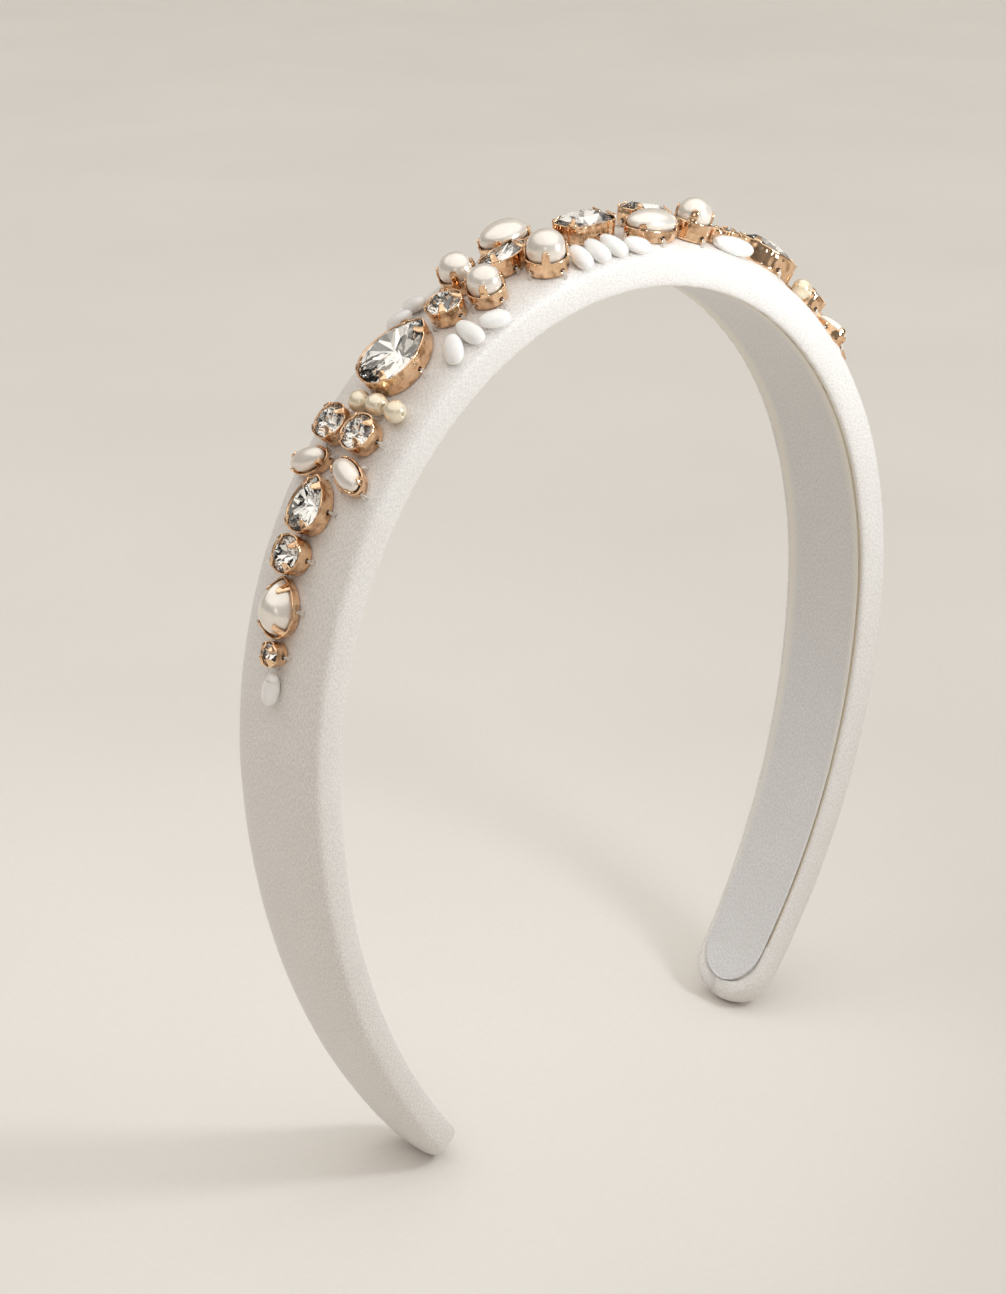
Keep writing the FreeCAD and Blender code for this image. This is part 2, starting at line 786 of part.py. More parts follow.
def petal(half_length):
    """A flat drop bead, drilled across its inner end."""
    drop = doc.addObject("Part::Ellipsoid", "drop")
    bind(drop, Radius1="sizes.petal_half_thickness", Radius2=half_length, Radius3="sizes.petal_half_width")
    hole_x = -size("petal_hole_share") * size("petal_half_length")
    return drilled(drop, hole_x, Vector(0, 1, 0), 4 * size("petal_half_width"))


def build_petals():
    """White petal beads in fans beside the stones."""
    rise = Placement(Vector(0, 0, size("petal_half_thickness")), Rotation())
    rows = [
        (PETALS, "sizes.petal_half_length", "petal_beads"),
        (LONG_PETALS, "sizes.long_petal_half_length", "long_petal_beads"),
    ]
    for places, half_length, label in rows:
        beads = []
        for place in places:
            bead = petal(half_length)
            bead.Placement = seat(*place).multiply(rise)
            beads.append(bead)
        gather(beads, label)


def stitch(kind, where, sign):
    """A quarter loop of thread from the satin up into a sew hole in the cup's long side."""
    loop = doc.addObject("Part::Torus", "stitch")
    bind(loop, Radius1="sizes.stitch_radius", Radius2="sizes.thread_radius")
    loop.Angle3 = 90
    wall = size(kind + "_width") / 2 + size("cup_wall")
    turn = Rotation(Vector(0, sign, 0), Vector(0, 0, 1), Vector(sign, 0, 0), "XZY")
    foot = Vector(0, sign * wall, size("sew_hole_height") - size("stitch_radius"))
    loop.Placement = where.multiply(Placement(foot, turn))
    return loop


def build_thread():
    """The visible stitches that hold each cup down."""
    loops = []
    for row in CRYSTALS + PEARLS:
        for place in row[2]:
            for sign in (1, -1):
                loops.append(stitch(row[1], seat(*place), sign))
    gather(loops, "sewing_thread")


def export_nodes():
    """Check every object and every sub-part's shape, then write one STEP file for each sub-part."""
    doc.recompute()
    failed = [item.Label for item in doc.Objects if "Invalid" in item.State or "Error" in item.State]
    if failed:
        raise RuntimeError(f"did not recompute: {failed}")
    for node in nodes:
        if node.Shape.isNull() or not node.Shape.isValid() or not node.Shape.Solids:
            raise RuntimeError(f"{node.Label} has no valid solid")
    os.makedirs("parts", exist_ok=True)
    for node in nodes:
        node.Shape.exportStep(f"parts/{node.Label}.step")
        box = node.Shape.BoundBox
        print(f"{node.Label}: {len(node.Shape.Solids)} solids, volume {node.Shape.Volume:.2f}, "
              f"z {box.ZMin:.2f} to {box.ZMax:.2f}")


fill_sheet()
build_band()
build_jewels(CRYSTALS, "crystal", crystal, True)
build_jewels(PEARLS, "pearl", pearl, False)
build_bead_pearls()
build_petals()
build_thread()
export_nodes()
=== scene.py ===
"""The looks of a padded satin headband with a jewelled crown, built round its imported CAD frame.

The arch's inner curve lies in the XZ plane. A place on the band is a run, the distance along that curve from
the crown (positive towards +X), a y across the band, and a height over the curve. Lengths are in millimetres
until a mesh is made.
"""

import bisect
import math
import random

import bpy
from mathutils import Matrix, Vector, noise


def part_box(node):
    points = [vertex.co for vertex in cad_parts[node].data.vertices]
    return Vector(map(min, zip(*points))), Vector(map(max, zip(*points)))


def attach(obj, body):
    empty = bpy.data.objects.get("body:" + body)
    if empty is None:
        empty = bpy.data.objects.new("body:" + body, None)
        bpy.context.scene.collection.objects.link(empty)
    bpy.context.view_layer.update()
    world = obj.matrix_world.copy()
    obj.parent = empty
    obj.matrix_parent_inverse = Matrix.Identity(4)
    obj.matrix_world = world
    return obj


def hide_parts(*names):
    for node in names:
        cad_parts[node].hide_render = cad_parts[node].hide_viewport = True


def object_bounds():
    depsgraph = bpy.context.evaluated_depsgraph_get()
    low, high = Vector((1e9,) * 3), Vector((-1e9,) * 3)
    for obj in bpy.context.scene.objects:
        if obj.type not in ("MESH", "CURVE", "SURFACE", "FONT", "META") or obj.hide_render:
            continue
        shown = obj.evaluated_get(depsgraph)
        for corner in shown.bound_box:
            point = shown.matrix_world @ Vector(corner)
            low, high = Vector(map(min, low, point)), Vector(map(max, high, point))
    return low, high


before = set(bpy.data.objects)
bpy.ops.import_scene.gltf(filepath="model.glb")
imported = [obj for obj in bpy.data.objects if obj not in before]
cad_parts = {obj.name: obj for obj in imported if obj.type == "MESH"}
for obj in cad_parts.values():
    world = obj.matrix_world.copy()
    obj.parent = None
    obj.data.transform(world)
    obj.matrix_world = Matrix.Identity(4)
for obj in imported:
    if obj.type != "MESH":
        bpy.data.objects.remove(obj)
cad_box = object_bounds()
MM = 0.001

# ---- driving dimensions, the same as the CAD's ----
ARCS = ((60.0, 40.5), (67.5, 29.0), (81.0, 20.5), (126.0, 39.0))  # radius, turn in degrees
HALF_WIDTHS = (10.7, 10.5, 8.2)  # crown, middle, tip
THICKNESSES = (7.2, 5.6)  # crown, tip
DOME_RISE = 0.5
TOP_SQUARENESS = 3.6
TIP_ROUNDING = 8.0
COVER_LOW = 0.45
LINING_TOP = 0.42
LINING_INSET = 2.1
LINING_END_GAP = 5.0
SEAT_CLEARANCE = 0.03
CUP_OUTSIDE = 0.4  # from a stone's outline to its cup's outside: the gap and the wall
PEARL_LIFT = 0.3
OVAL_PEARL_HEIGHT = 0.72
DROP_DOME = 0.42
GIRDLE = 0.3
GIRDLE_DROP = 0.05
CROWN_SLOPE = math.radians(35)
TABLE_SCALE = 0.55
CROWN_SWELL = 0.55
OCTAGON_CORNER = 0.82
HALF_LENGTH = sum(radius * math.radians(turn) for radius, turn in ARCS)
CROWN_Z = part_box("lining_strip")[1].z / MM - LINING_TOP  # height of the inner curve's crown

# each kind's length, width and cup height
KINDS = {
    "chaton": (5.8, 5.8, 3.1),
    "mini_chaton": (3.5, 3.5, 2.4),
    "pear": (9.0, 6.6, 3.1),
    "grand_pear": (13.4, 10.0, 3.6),
    "marquise": (9.8, 4.6, 3.2),
    "octagon": (9.8, 6.8, 3.2),
    "oval": (9.6, 7.4, 3.2),
    "baguette": (4.2, 3.0, 3.0),
    "drop_pearl": (9.4, 7.0, 1.9),
    "rice_pearl": (7.0, 4.0, 1.9),
    "round_pearl": (5.8, 5.8, 2.6),
    "tall_pearl": (6.0, 6.0, 3.4),
    "button_pearl": (6.6, 6.6, 2.8),
    "oval_pearl": (9.2, 7.0, 2.15),
    "short_pearl": (10.0, 6.0, 2.2),
}
OUTLINES = {
    "pear": "pear", "grand_pear": "pear", "drop_pearl": "pear", "marquise": "marquise",
    "octagon": "octagon", "baguette": "baguette", "oval": "oval", "rice_pearl": "oval",
    "oval_pearl": "oval", "short_pearl": "oval",
}
CLAW_ANGLES = {
    "round": (45, 135, 225, 315),
    "oval": (40, 140, 220, 320),
    "marquise": (48, 132, 228, 312),
    "octagon": (32, 148, 212, 328),
    "baguette": (62, 118, 242, 298),
    "pear": (32, 140, 220, 328),
}
# name, kind, then each one's run, y and turn in degrees
CRYSTALS = (
    ("left_end_chaton", "mini_chaton", ((-85.2, -1.0, 0),)),
    ("left_lower_chaton", "chaton", ((-71.0, 0.0, 0),)),
    ("left_pear", "pear", ((-63.6, -0.4, 0),)),
    ("left_twin_chatons", "chaton", ((-52.0, -3.5, 0), (-51.8, 3.2, 0))),
    ("left_grand_pear", "grand_pear", ((-39.4, -0.6, -5),)),
    ("left_upper_chaton", "chaton", ((-29.4, -1.0, 0),)),
    ("left_marquise", "marquise", ((-17.2, -0.3, 0),)),
    ("centre_chaton", "mini_chaton", ((-9.7, -1.1, 0),)),
    ("centre_octagon", "octagon", ((-2.0, -0.9, 0),)),
    ("right_oval", "oval", ((13.0, 2.4, 0),)),
    ("right_upper_chaton", "mini_chaton", ((23.1, -3.6, 0),)),
    ("right_baguette", "baguette", ((27.4, -3.0, 0),)),
    ("right_grand_pear", "grand_pear", ((35.9, -2.4, 180),)),
    ("right_twin_chatons", "chaton", ((48.0, -4.3, 0), (47.8, 2.5, 0))),
    ("right_pear", "pear", ((60.6, -1.0, 180),)),
    ("right_lower_chaton", "chaton", ((68.3, -0.8, 0),)),
    ("right_end_chaton", "mini_chaton", ((85.2, -1.0, 0),)),
)
PEARLS = (
    ("left_drop", "drop_pearl", ((-78.5, -0.2, 4),)),
    ("left_rice", "rice_pearl", ((-58.0, -5.1, 62), (-57.8, 4.3, 118))),
    ("left_round", "round_pearl", ((-24.1, -4.4, 0), (-23.3, 3.0, 0))),
    ("left_button", "button_pearl", ((-13.9, -6.2, 0),)),
    ("left_oval", "oval_pearl", ((-12.2, 5.4, 0),)),
    ("right_short", "short_pearl", ((6.8, -6.2, -3),)),
    ("right_tall", "tall_pearl", ((15.4, -5.9, 0),)),
    ("right_rice", "rice_pearl", ((54.6, -5.6, -62), (54.6, 3.7, -118))),
    ("right_drop", "drop_pearl", ((78.5, -0.4, 180),)),
)
BEAD_RADIUS = 1.85
BEAD_HOLE = 0.35
BEAD_PEARLS = ((-47.2, -6.9), (-47.2, -3.0), (-47.5, 0.8), (43.4, -6.6), (43.6, -0.9), (43.0, 3.4))
PETAL_HALF = (2.7, 1.5, 1.1)  # along, across, up
LONG_PETAL_HALF = (4.4, 1.5, 1.1)
PETALS = (
    (-90.4, -1.2, 180),
    (-35.0, -7.9, 225), (-31.4, -8.0, 268), (-27.6, -9.2, 335),
    (-33.2, 6.6, 125), (-29.6, 6.8, 95),
    (-9.3, -8.4, 262), (-6.0, -8.4, 274), (-2.7, -8.4, 286), (1.1, -9.4, 342),
    (5.8, 5.0, 75),
    (90.4, -1.2, 0),
)
LONG_PETALS = ((23.3, -8.1, 354), (24.6, 3.2, 8))

# ---- what only the looks have ----
STATION_STEP = 0.8
ROLL_LOW = -0.05  # height of the padded edge's lowest line, a little inside the lining's face
ROLL_WIDTH = 1.2
ROLL_SQUARENESS = 2.1
GROOVE_HEIGHT = 0.8
GROOVE_WIDTH = 0.15
LINING_REACH = 1.6  # how much nearer the tips the ribbon is drawn than the CAD strip
LINING_LAP = 0.9  # how far the drawn ribbon laps over the roll along the rear edge
UNDER_HEIGHT = 0.6
COLUMN_STEP = 0.22
SHEET_METAL = 0.26
SEW_HOLE = 0.4
SEW_HOLE_HEIGHT = 1.0
CLAW_HALF_WIDTH = 0.6
CLAW_LENGTH = 1.8
THREAD_RADIUS = 0.07
PETAL_THREAD_SHARE = 0.7
PETAL_GAP = 0.1  # between a petal and the satin
PETAL_GIRTH = 1.12
LONG_PETAL_SWELL = (1.2, 1.25)  # across, up
PETAL_LEAN = 12  # degrees, for the short petals near the crown
FLAT_LEAN = -4
LEANING_PETALS_END = 80  # run past which petals lie flat
CLAW_STAND_OFF = 0.34
CLAW_SWELL = 0.05
FLUTE_DEPTH = 0.035
FLUTE_SPACING = 1.5
FOOT_HEIGHT = 0.45
WALL_START = 0.24
PEARL_UNEVENNESS = 0.012
LEAST_TIP = 0.02  # share of the width left at a rounded end

# ---- the studio's dimensions, in metres and degrees where not marked ----
CAMERA_AZIMUTH = math.radians(-42.01)
CAMERA_ELEVATION = math.radians(22.07)
CAMERA_ROLL = math.radians(-0.26)
CAMERA_DISTANCE = 0.4663
CAMERA_LENS = 72.99  # millimetres
CAMERA_TARGET = Vector((-0.00973, 0.01132, 0.0856))
WORLD_STRENGTH = 1.21
FLOOR_REACH = 2600.0  # millimetres, as are the next two
FLOOR_DEPTH = 1500.0
SWEEP_RADIUS = 700.0
SWEEP_STEPS = 24


# ---- the arch ----

def inner_point(run):
    """X, Z below the crown and turn of the inner curve at a run."""
    left = abs(run)
    x = z = turn = 0.0
    for radius, arc_turn in ARCS:
        step = left / radius
        if (radius, arc_turn) != ARCS[-1]:
            step = min(step, math.radians(arc_turn))
        x += radius * (math.sin(turn + step) - math.sin(turn))
        z += radius * (math.cos(turn + step) - math.cos(turn))
        turn += step
        left -= step * radius
    side = math.copysign(1.0, run)
    return side * x, z, side * turn


def place(run, y, height):
    """The point at a height over the inner curve."""
    x, z, turn = inner_point(run)
    return Vector((x + height * math.sin(turn), y, CROWN_Z + z + height * math.cos(turn)))


def half_width(run):
    u = abs(run) / HALF_LENGTH
    crown, middle, tip = HALF_WIDTHS
    return crown * (1 - u) * (1 - 2 * u) + middle * 4 * u * (1 - u) + tip * u * (2 * u - 1)


def edge_thickness(run):
    u = abs(run) / HALF_LENGTH
    return THICKNESSES[0] + (THICKNESSES[1] - THICKNESSES[0]) * u * u


def tip_factor(run, end_gap):
    """How far an outline has closed in at its rounded end: across the band, and in thickness."""
    share = (abs(run) - (HALF_LENGTH - end_gap - TIP_ROUNDING)) / TIP_ROUNDING
    share = min(max(share, 0.0), 1.0)
    return math.sqrt(1 - share ** 2.2), math.sqrt(1 - share ** 8)


def stations(end_gap, step):
    """Runs of a strip's sections, closer together where its ends round off."""
    straight = HALF_LENGTH - end_gap - TIP_ROUNDING
    count = math.ceil(straight / step)
    runs = [straight * i / count for i in range(count + 1)]
    runs += [straight + TIP_ROUNDING * math.sin(math.radians(4 * i)) for i in range(1, 23)]
    return [-run for run in reversed(runs[1:])] + runs


def outer_height(run, y):
    share = min(abs(y) / half_width(run), 0.999)
    rise = (1 - share ** TOP_SQUARENESS) ** (1 / TOP_SQUARENESS)
    middle = (COVER_LOW + edge_thickness(run)) / 2
    return middle + (edge_thickness(run) - middle) * rise + DOME_RISE * rise * (1 - share ** 2)


def seat(run, y, turn):
    """Matrix of a piece that sits on the satin: z out of the surface, x along the band before the turn."""
    step = 0.05
    slope = (outer_height(run, y + step) - outer_height(run, y - step)) / (2 * step)
    rotation = Matrix.Rotation(inner_point(run)[2], 4, "Y") @ Matrix.Rotation(math.atan(slope), 4, "X")
    normal = rotation @ Vector((0, 0, 1))
    base = place(run, y, outer_height(run, y)) + normal * SEAT_CLEARANCE
    return Matrix.Translation(base) @ rotation @ Matrix.Rotation(math.radians(turn), 4, "Z")


def smooth_step(value):
    value = min(max(value, 0.0), 1.0)
    return value * value * (3 - 2 * value)


# ---- outlines ----

def ray_to_circle(dx, dy, centre_x, centre_y, radius):
    """How far a ray from the origin runs before it leaves a circle."""
    along = dx * centre_x + dy * centre_y
    return along + math.sqrt(along ** 2 + radius ** 2 - centre_x ** 2 - centre_y ** 2)


def outline_point(kind, angle):
    """A point of a stone's outline. The angle runs round an ellipse of the stone's length and width."""
    length = KINDS[kind][0] / 2
    width = KINDS[kind][1] / 2
    across = math.sin(angle)
    along = math.cos(angle)
    form = OUTLINES.get(kind, "round")
    if form in ("round", "oval"):
        return Vector((length * along, width * across, 0))
    ray = math.atan2(width * across, length * along)
    dx = math.cos(ray)
    dy = abs(math.sin(ray))
    flat = length / max(abs(dx), 1e-9)
    side = width / max(dy, 1e-9)
    if form == "baguette":
        reach = min(flat, side)
    elif form == "octagon":
        reach = min(flat, side, (length + width) * OCTAGON_CORNER / (abs(dx) + dy))
    else:
        centre = width - length if form == "pear" else 0.0
        point = length - centre
        radius = (point ** 2 + width ** 2) / (2 * width)
        reach = ray_to_circle(dx, dy, centre, width - radius, radius)
        if form == "pear" and reach * dx < centre:
            reach = ray_to_circle(dx, dy, centre, 0.0, width)
    return Vector((reach * dx, math.copysign(reach * dy, across), 0))


class Rim:
    """A stone's outline with even columns round it, each with its point and its outward direction."""

    def __init__(self, kind, step):
        dense = [outline_point(kind, 2 * math.pi * i / 720) for i in range(721)]
        reach = [0.0]
        for before, after in zip(dense, dense[1:]):
            reach.append(reach[-1] + (after - before).length)
        self.count = 4 * max(8, round(reach[-1] / step / 4))
        self.step = reach[-1] / self.count
        self.points = []
        for i in range(self.count):
            target = i * self.step
            j = min(bisect.bisect_right(reach, target), 720)
            share = (target - reach[j - 1]) / max(reach[j] - reach[j - 1], 1e-9)
            self.points.append(dense[j - 1].lerp(dense[j], share))
        self.normals = []
        for i in range(self.count):
            tangent = self.points[(i + 2) % self.count] - self.points[i - 2]
            self.normals.append(tangent.cross(Vector((0, 0, 1))).normalized())

    def at(self, column):
        """Point and outward direction at a column that need not be whole."""
        low = math.floor(column)
        share = column - low
        i = low % self.count
        j = (low + 1) % self.count
        return self.points[i].lerp(self.points[j], share), self.normals[i].lerp(self.normals[j], share)

    def nearest(self, point):
        return min(range(self.count), key=lambda i: (self.points[i] - point).length)


# ---- mesh building ----

class Build:
    """Vertices, faces and per-face finish of one piece, gathered in millimetres."""

    def __init__(self):
        self.verts = []
        self.faces = []
        self.finish = []
        self.uvs = []

    def add(self, verts, faces, matrix=None, finish=0, uvs=None):
        start = len(self.verts)
        self.verts += [matrix @ v if matrix else v for v in verts]
        self.faces += [tuple(start + i for i in face) for face in faces]
        self.finish += finish if isinstance(finish, list) else [finish] * len(faces)
        self.uvs += uvs if uvs else [(0.0, 0.0)] * len(verts)

    def piece(self, name, materials, nodes, smooth=True):
        """Make the object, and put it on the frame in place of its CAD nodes."""
        mesh = bpy.data.meshes.new(name)
        mesh.from_pydata([v * MM for v in self.verts], [], self.faces)
        for material in materials:
            mesh.materials.append(material)
        mesh.polygons.foreach_set("material_index", self.finish)
        mesh.polygons.foreach_set("use_smooth", [smooth] * len(self.faces))
        layer = mesh.uv_layers.new(name="cloth")
        for loop in mesh.loops:
            layer.data[loop.index].uv = self.uvs[loop.vertex_index]
        mesh.update()
        item = bpy.data.objects.new(name, mesh)
        bpy.context.scene.collection.objects.link(item)
        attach(item, "root")
        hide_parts(*nodes)
        return item


def ring_faces(rings, columns, close_ends=True):
    """Quads between closed rings of vertices, with a cap at each end."""
    faces = []
    for r in range(rings - 1):
        for c in range(columns):
            after = (c + 1) % columns
            low, high = r * columns, (r + 1) * columns
            faces.append((low + c, low + after, high + after, high + c))
    if close_ends:
        faces.append(tuple(reversed(range(columns))))
        faces.append(tuple((rings - 1) * columns + c for c in range(columns)))
    return faces


# ---- node materials ----

def new_material(name, **inputs):
    """A material with one Principled shader whose inputs are set by name, _ for a space."""
    material = bpy.data.materials.new(name)
    material.use_nodes = True
    shader = material.node_tree.nodes["Principled BSDF"]
    for key, value in inputs.items():
        shader.inputs[key.replace("_", " ")].default_value = value
    return material


class Nodes:
    """Short calls for building a material's node tree."""

    def __init__(self, material):
        self.tree = material.node_tree
        self.shader = self.tree.nodes["Principled BSDF"]

    def new(self, kind, **settings):
        node = self.tree.nodes.new(kind)
        for key, value in settings.items():
            if key in node.bl_rna.properties:
                setattr(node, key, value)
            else:
                node.inputs[key.replace("_", " ")].default_value = value
        return node

    def link(self, output, target):
        self.tree.links.new(output, target)

    def coordinates(self, source="Object", scale=1000.0, turn=0.0, stretch=(1, 1, 1)):
        """Coordinates in millimetres, turned about z and then stretched."""
        texture = self.new("ShaderNodeTexCoord")
        mapping = self.new("ShaderNodeMapping", Rotation=(0, 0, turn), Scale=[scale * s for s in stretch])
        self.link(texture.outputs[source], mapping.inputs["Vector"])
        return mapping.outputs["Vector"]

    def noise(self, vector, scale, detail=3.0, roughness=0.55):
        node = self.new("ShaderNodeTexNoise", Scale=scale, Detail=detail, Roughness=roughness)
        self.link(vector, node.inputs["Vector"])
        return node.outputs["Fac"]

    def bands(self, vector, period, distortion=0.0, detail=0.0):
        """Even bands across x, one each period."""
        scale = math.pi / (10 * period)
        node = self.new("ShaderNodeTexWave", Scale=scale, Distortion=distortion, Detail=detail)
        self.link(vector, node.inputs["Vector"])
        return node.outputs["Fac"]

    def math(self, operation, first, second):
        node = self.new("ShaderNodeMath", operation=operation)
        for socket, value in zip(node.inputs, (first, second)):
            if isinstance(value, (int, float)):
                socket.default_value = value
            else:
                self.link(value, socket)
        return node.outputs[0]

    def ramp(self, value, low, high, start=0.0, end=1.0):
        """A number that runs from low to high as value runs from start to end."""
        node = self.new("ShaderNodeMapRange", From_Min=start, From_Max=end, To_Min=low, To_Max=high)
        self.link(value, node.inputs["Value"])
        return node.outputs["Result"]

    def mix(self, share, first, second, blend="MIX"):
        """A colour between two colours or colour outputs."""
        node = self.new("ShaderNodeMix", data_type="RGBA", blend_type=blend)
        colour_a, colour_b = [s for s in node.inputs if s.type == "RGBA"]
        for socket, value in ((node.inputs[0], share), (colour_a, first), (colour_b, second)):
            if isinstance(value, (int, float)):
                socket.default_value = value
            elif isinstance(value, tuple):
                socket.default_value = (*value, 1.0)
            else:
                self.link(value, socket)
        return [s for s in node.outputs if s.type == "RGBA"][0]

    def bump(self, height, strength, distance_mm):
        node = self.new("ShaderNodeBump", Strength=strength, Distance=distance_mm * MM)
        self.link(height, node.inputs["Height"])
        self.link(node.outputs["Normal"], self.shader.inputs["Normal"])
        return node

    def to(self, output, name):
        self.link(output, self.shader.inputs[name])

    def surface(self, pattern, first, second, roughness, contrast=(0.0, 1.0)):
        """A colour between two tones, and a roughness between two values, that both follow one pattern."""
        self.to(self.mix(self.ramp(pattern, 0.0, 1.0, *contrast), first, second), "Base Color")
        self.to(self.ramp(pattern, *roughness), "Roughness")


def satin(name, colour, shade, weave_period, roughness, edge_colour=None):
    """Duchess satin: long floats in a fine twill, a soft sheen, and slight tone changes in the cloth."""
    material = new_material(name, Sheen_Weight=0.25, Sheen_Roughness=0.4, Anisotropic=0.35)
    nodes = Nodes(material)
    cloth = nodes.coordinates("UV", 1.0)
    along = (0.45 / weave_period, 1.3 / weave_period, 1.0)
    across = (1.3 / weave_period, 0.6 / weave_period, 1.0)
    twill = nodes.noise(nodes.coordinates("UV", 1.0, math.radians(35), along), 1.0, 1.0)
    cross = nodes.noise(nodes.coordinates("UV", 1.0, math.radians(35), across), 1.0, 1.0)
    slub = nodes.noise(nodes.coordinates("UV", 1.0, 0.0, (0.5, 4.0, 1.0)), 1.3)
    grain = nodes.math("ADD", nodes.math("MULTIPLY", twill, 0.6), nodes.math("MULTIPLY", cross, 0.4))
    height = nodes.math("ADD", grain, nodes.math("MULTIPLY", slub, 0.35))
    tone = nodes.noise(cloth, 0.14, 4.0)
    base = nodes.mix(nodes.ramp(tone, 0.0, 1.0, 0.3, 0.7), shade, colour)
    dark = tuple(0.68 * c for c in colour)
    base = nodes.mix(nodes.ramp(grain, 0.7, 0.0, 0.38, 0.6), base, dark)
    if edge_colour:
        split = nodes.new("ShaderNodeSeparateXYZ")
        nodes.link(cloth, split.inputs[0])
        rim = nodes.math("ABSOLUTE", split.outputs["Y"], 0.0)
        base = nodes.mix(nodes.ramp(rim, 0.0, 1.0, 6.6, 8.2), base, edge_colour)
    nodes.to(base, "Base Color")
    nodes.to(nodes.ramp(grain, roughness - 0.06, roughness + 0.08), "Roughness")
    tangent = nodes.new("ShaderNodeTangent", direction_type="UV_MAP", uv_map="cloth")
    nodes.link(tangent.outputs[0], nodes.shader.inputs["Tangent"])
    nodes.bump(height, 0.8, 0.12)
    return material


def groove_shade_cloth():
    """The satin's raw turned-in hem in the lining's groove, stiff, its colour darkened brown as painted shade
    in the groove.
    """
    material = new_material("painted_groove_shade")
    nodes = Nodes(material)
    groove_shade_tone = nodes.noise(nodes.coordinates(), 0.8, 4.0)
    # Two mottled browns: painted shade inside the groove between the padded edge and the lining.
    nodes.surface(groove_shade_tone, (0.56, 0.47, 0.34), (0.70, 0.61, 0.47), (0.7, 0.95))
    nodes.bump(groove_shade_tone, 0.4, 0.1)
    return material


def rose_gold():
    """Polished plate with faint drawing lines and slight tarnish, and dark brown patches painted in as dark
    reflections.
    """
    material = new_material("rose_gold_plate", Metallic=1.0)
    nodes = Nodes(material)
    place_mm = nodes.coordinates()
    tarnish = nodes.noise(place_mm, 0.9, 4.0)
    lines = nodes.noise(nodes.coordinates(stretch=(1, 1, 6)), 2.2, 2.0)
    dark_reflection_patches = nodes.noise(nodes.coordinates(), 0.55, 2.0)
    plate = nodes.mix(nodes.ramp(tarnish, 0.0, 1.0, 0.35, 0.75), (1.0, 0.72, 0.48), (0.86, 0.52, 0.29))
    # Dark brown patches mixed into the plate's colour are painted dark reflections.
    nodes.to(nodes.mix(nodes.ramp(dark_reflection_patches, 0.0, 0.7, 0.48, 0.66), plate, (0.36, 0.19, 0.09)), "Base Color")
    nodes.to(nodes.ramp(lines, 0.03, 0.12), "Roughness")
    nodes.bump(lines, 0.12, 0.02)
    return material


def crystal_glass():
    """Clear lead crystal with a trace of grey and rub marks on the facets."""
    material = new_material("cut_crystal", Transmission_Weight=1.0, IOR=1.58)
    nodes = Nodes(material)
    rub = nodes.noise(nodes.coordinates(), 1.6, 3.0)
    nodes.surface(rub, (0.995, 0.99, 0.98), (0.965, 0.955, 0.94), (0.0, 0.03, 0.45, 0.8), (0.3, 0.7))
    return material


def foil():
    """The silvered back of a stone, a little uneven."""
    material = new_material("foil_back", Metallic=1.0)
    nodes = Nodes(material)
    patch = nodes.noise(nodes.coordinates(), 0.7, 3.0)
    nodes.surface(patch, (1.0, 0.99, 0.97), (0.88, 0.86, 0.83), (0.02, 0.10), (0.35, 0.65))
    return material


def pearl_lustre(name, colour, deep):
    """Layered pearl coating: a soft body under a warm clear coat, with a pale orient in its gloss."""
    material = new_material(name, Coat_Weight=1.0, Coat_Roughness=0.04, Coat_IOR=1.7,
                            Coat_Tint=(1.0, 0.985, 0.97, 1.0),
                            Metallic=0.35, Subsurface_Weight=0.05, Subsurface_Scale=0.001)
    nodes = Nodes(material)
    swirl = nodes.noise(nodes.coordinates(), 0.5, 4.0)
    body = nodes.mix(nodes.ramp(swirl, 0.0, 1.0, 0.35, 0.7), colour, deep)
    nodes.to(body, "Base Color")
    nodes.to(nodes.mix(swirl, (0.84, 0.72, 0.64), (0.76, 0.73, 0.66)), "Specular Tint")
    nodes.to(nodes.ramp(swirl, 0.16, 0.3), "Roughness")
    nodes.bump(nodes.noise(nodes.coordinates(), 2.5, 2.0), 0.12, 0.05)
    return material


def opaque_bead():
    material = new_material("white_bead_glaze", Coat_Weight=0.6, Coat_Roughness=0.08, Subsurface_Weight=0.15,
                            Subsurface_Scale=0.001)
    nodes = Nodes(material)
    cloud = nodes.noise(nodes.coordinates(), 0.6, 3.0)
    nodes.surface(cloud, (0.93, 0.915, 0.89), (0.87, 0.85, 0.82), (0.14, 0.3), (0.3, 0.7))
    nodes.bump(nodes.noise(nodes.coordinates(), 2.0, 2.0), 0.1, 0.05)
    return material


def thread_fibre():
    material = new_material("sewing_fibre", Sheen_Weight=0.3)
    nodes = Nodes(material)
    twist = nodes.bands(nodes.coordinates(turn=math.radians(40)), 0.12, 1.0, 1.0)
    nodes.surface(twist, (0.62, 0.57, 0.50), (0.85, 0.81, 0.75), (0.5, 0.75))
    nodes.bump(twist, 0.5, 0.03)
    return material


def foam_cells():
    material = new_material("foam_cells")
    nodes = Nodes(material)
    cells = nodes.new("ShaderNodeTexVoronoi", Scale=1.6)
    nodes.link(nodes.coordinates(), cells.inputs["Vector"])
    nodes.surface(cells.outputs["Distance"], (0.72, 0.68, 0.58), (0.90, 0.88, 0.80), (0.8, 0.95))
    nodes.bump(cells.outputs["Distance"], 0.8, 0.3)
    return material


def moulded_plastic():
    material = new_material("moulded_strip")
    nodes = Nodes(material)
    texture = nodes.noise(nodes.coordinates(), 3.0, 4.0)
    nodes.surface(texture, (0.82, 0.81, 0.78), (0.88, 0.87, 0.84), (0.4, 0.6))
    nodes.bump(texture, 0.3, 0.05)
    return material


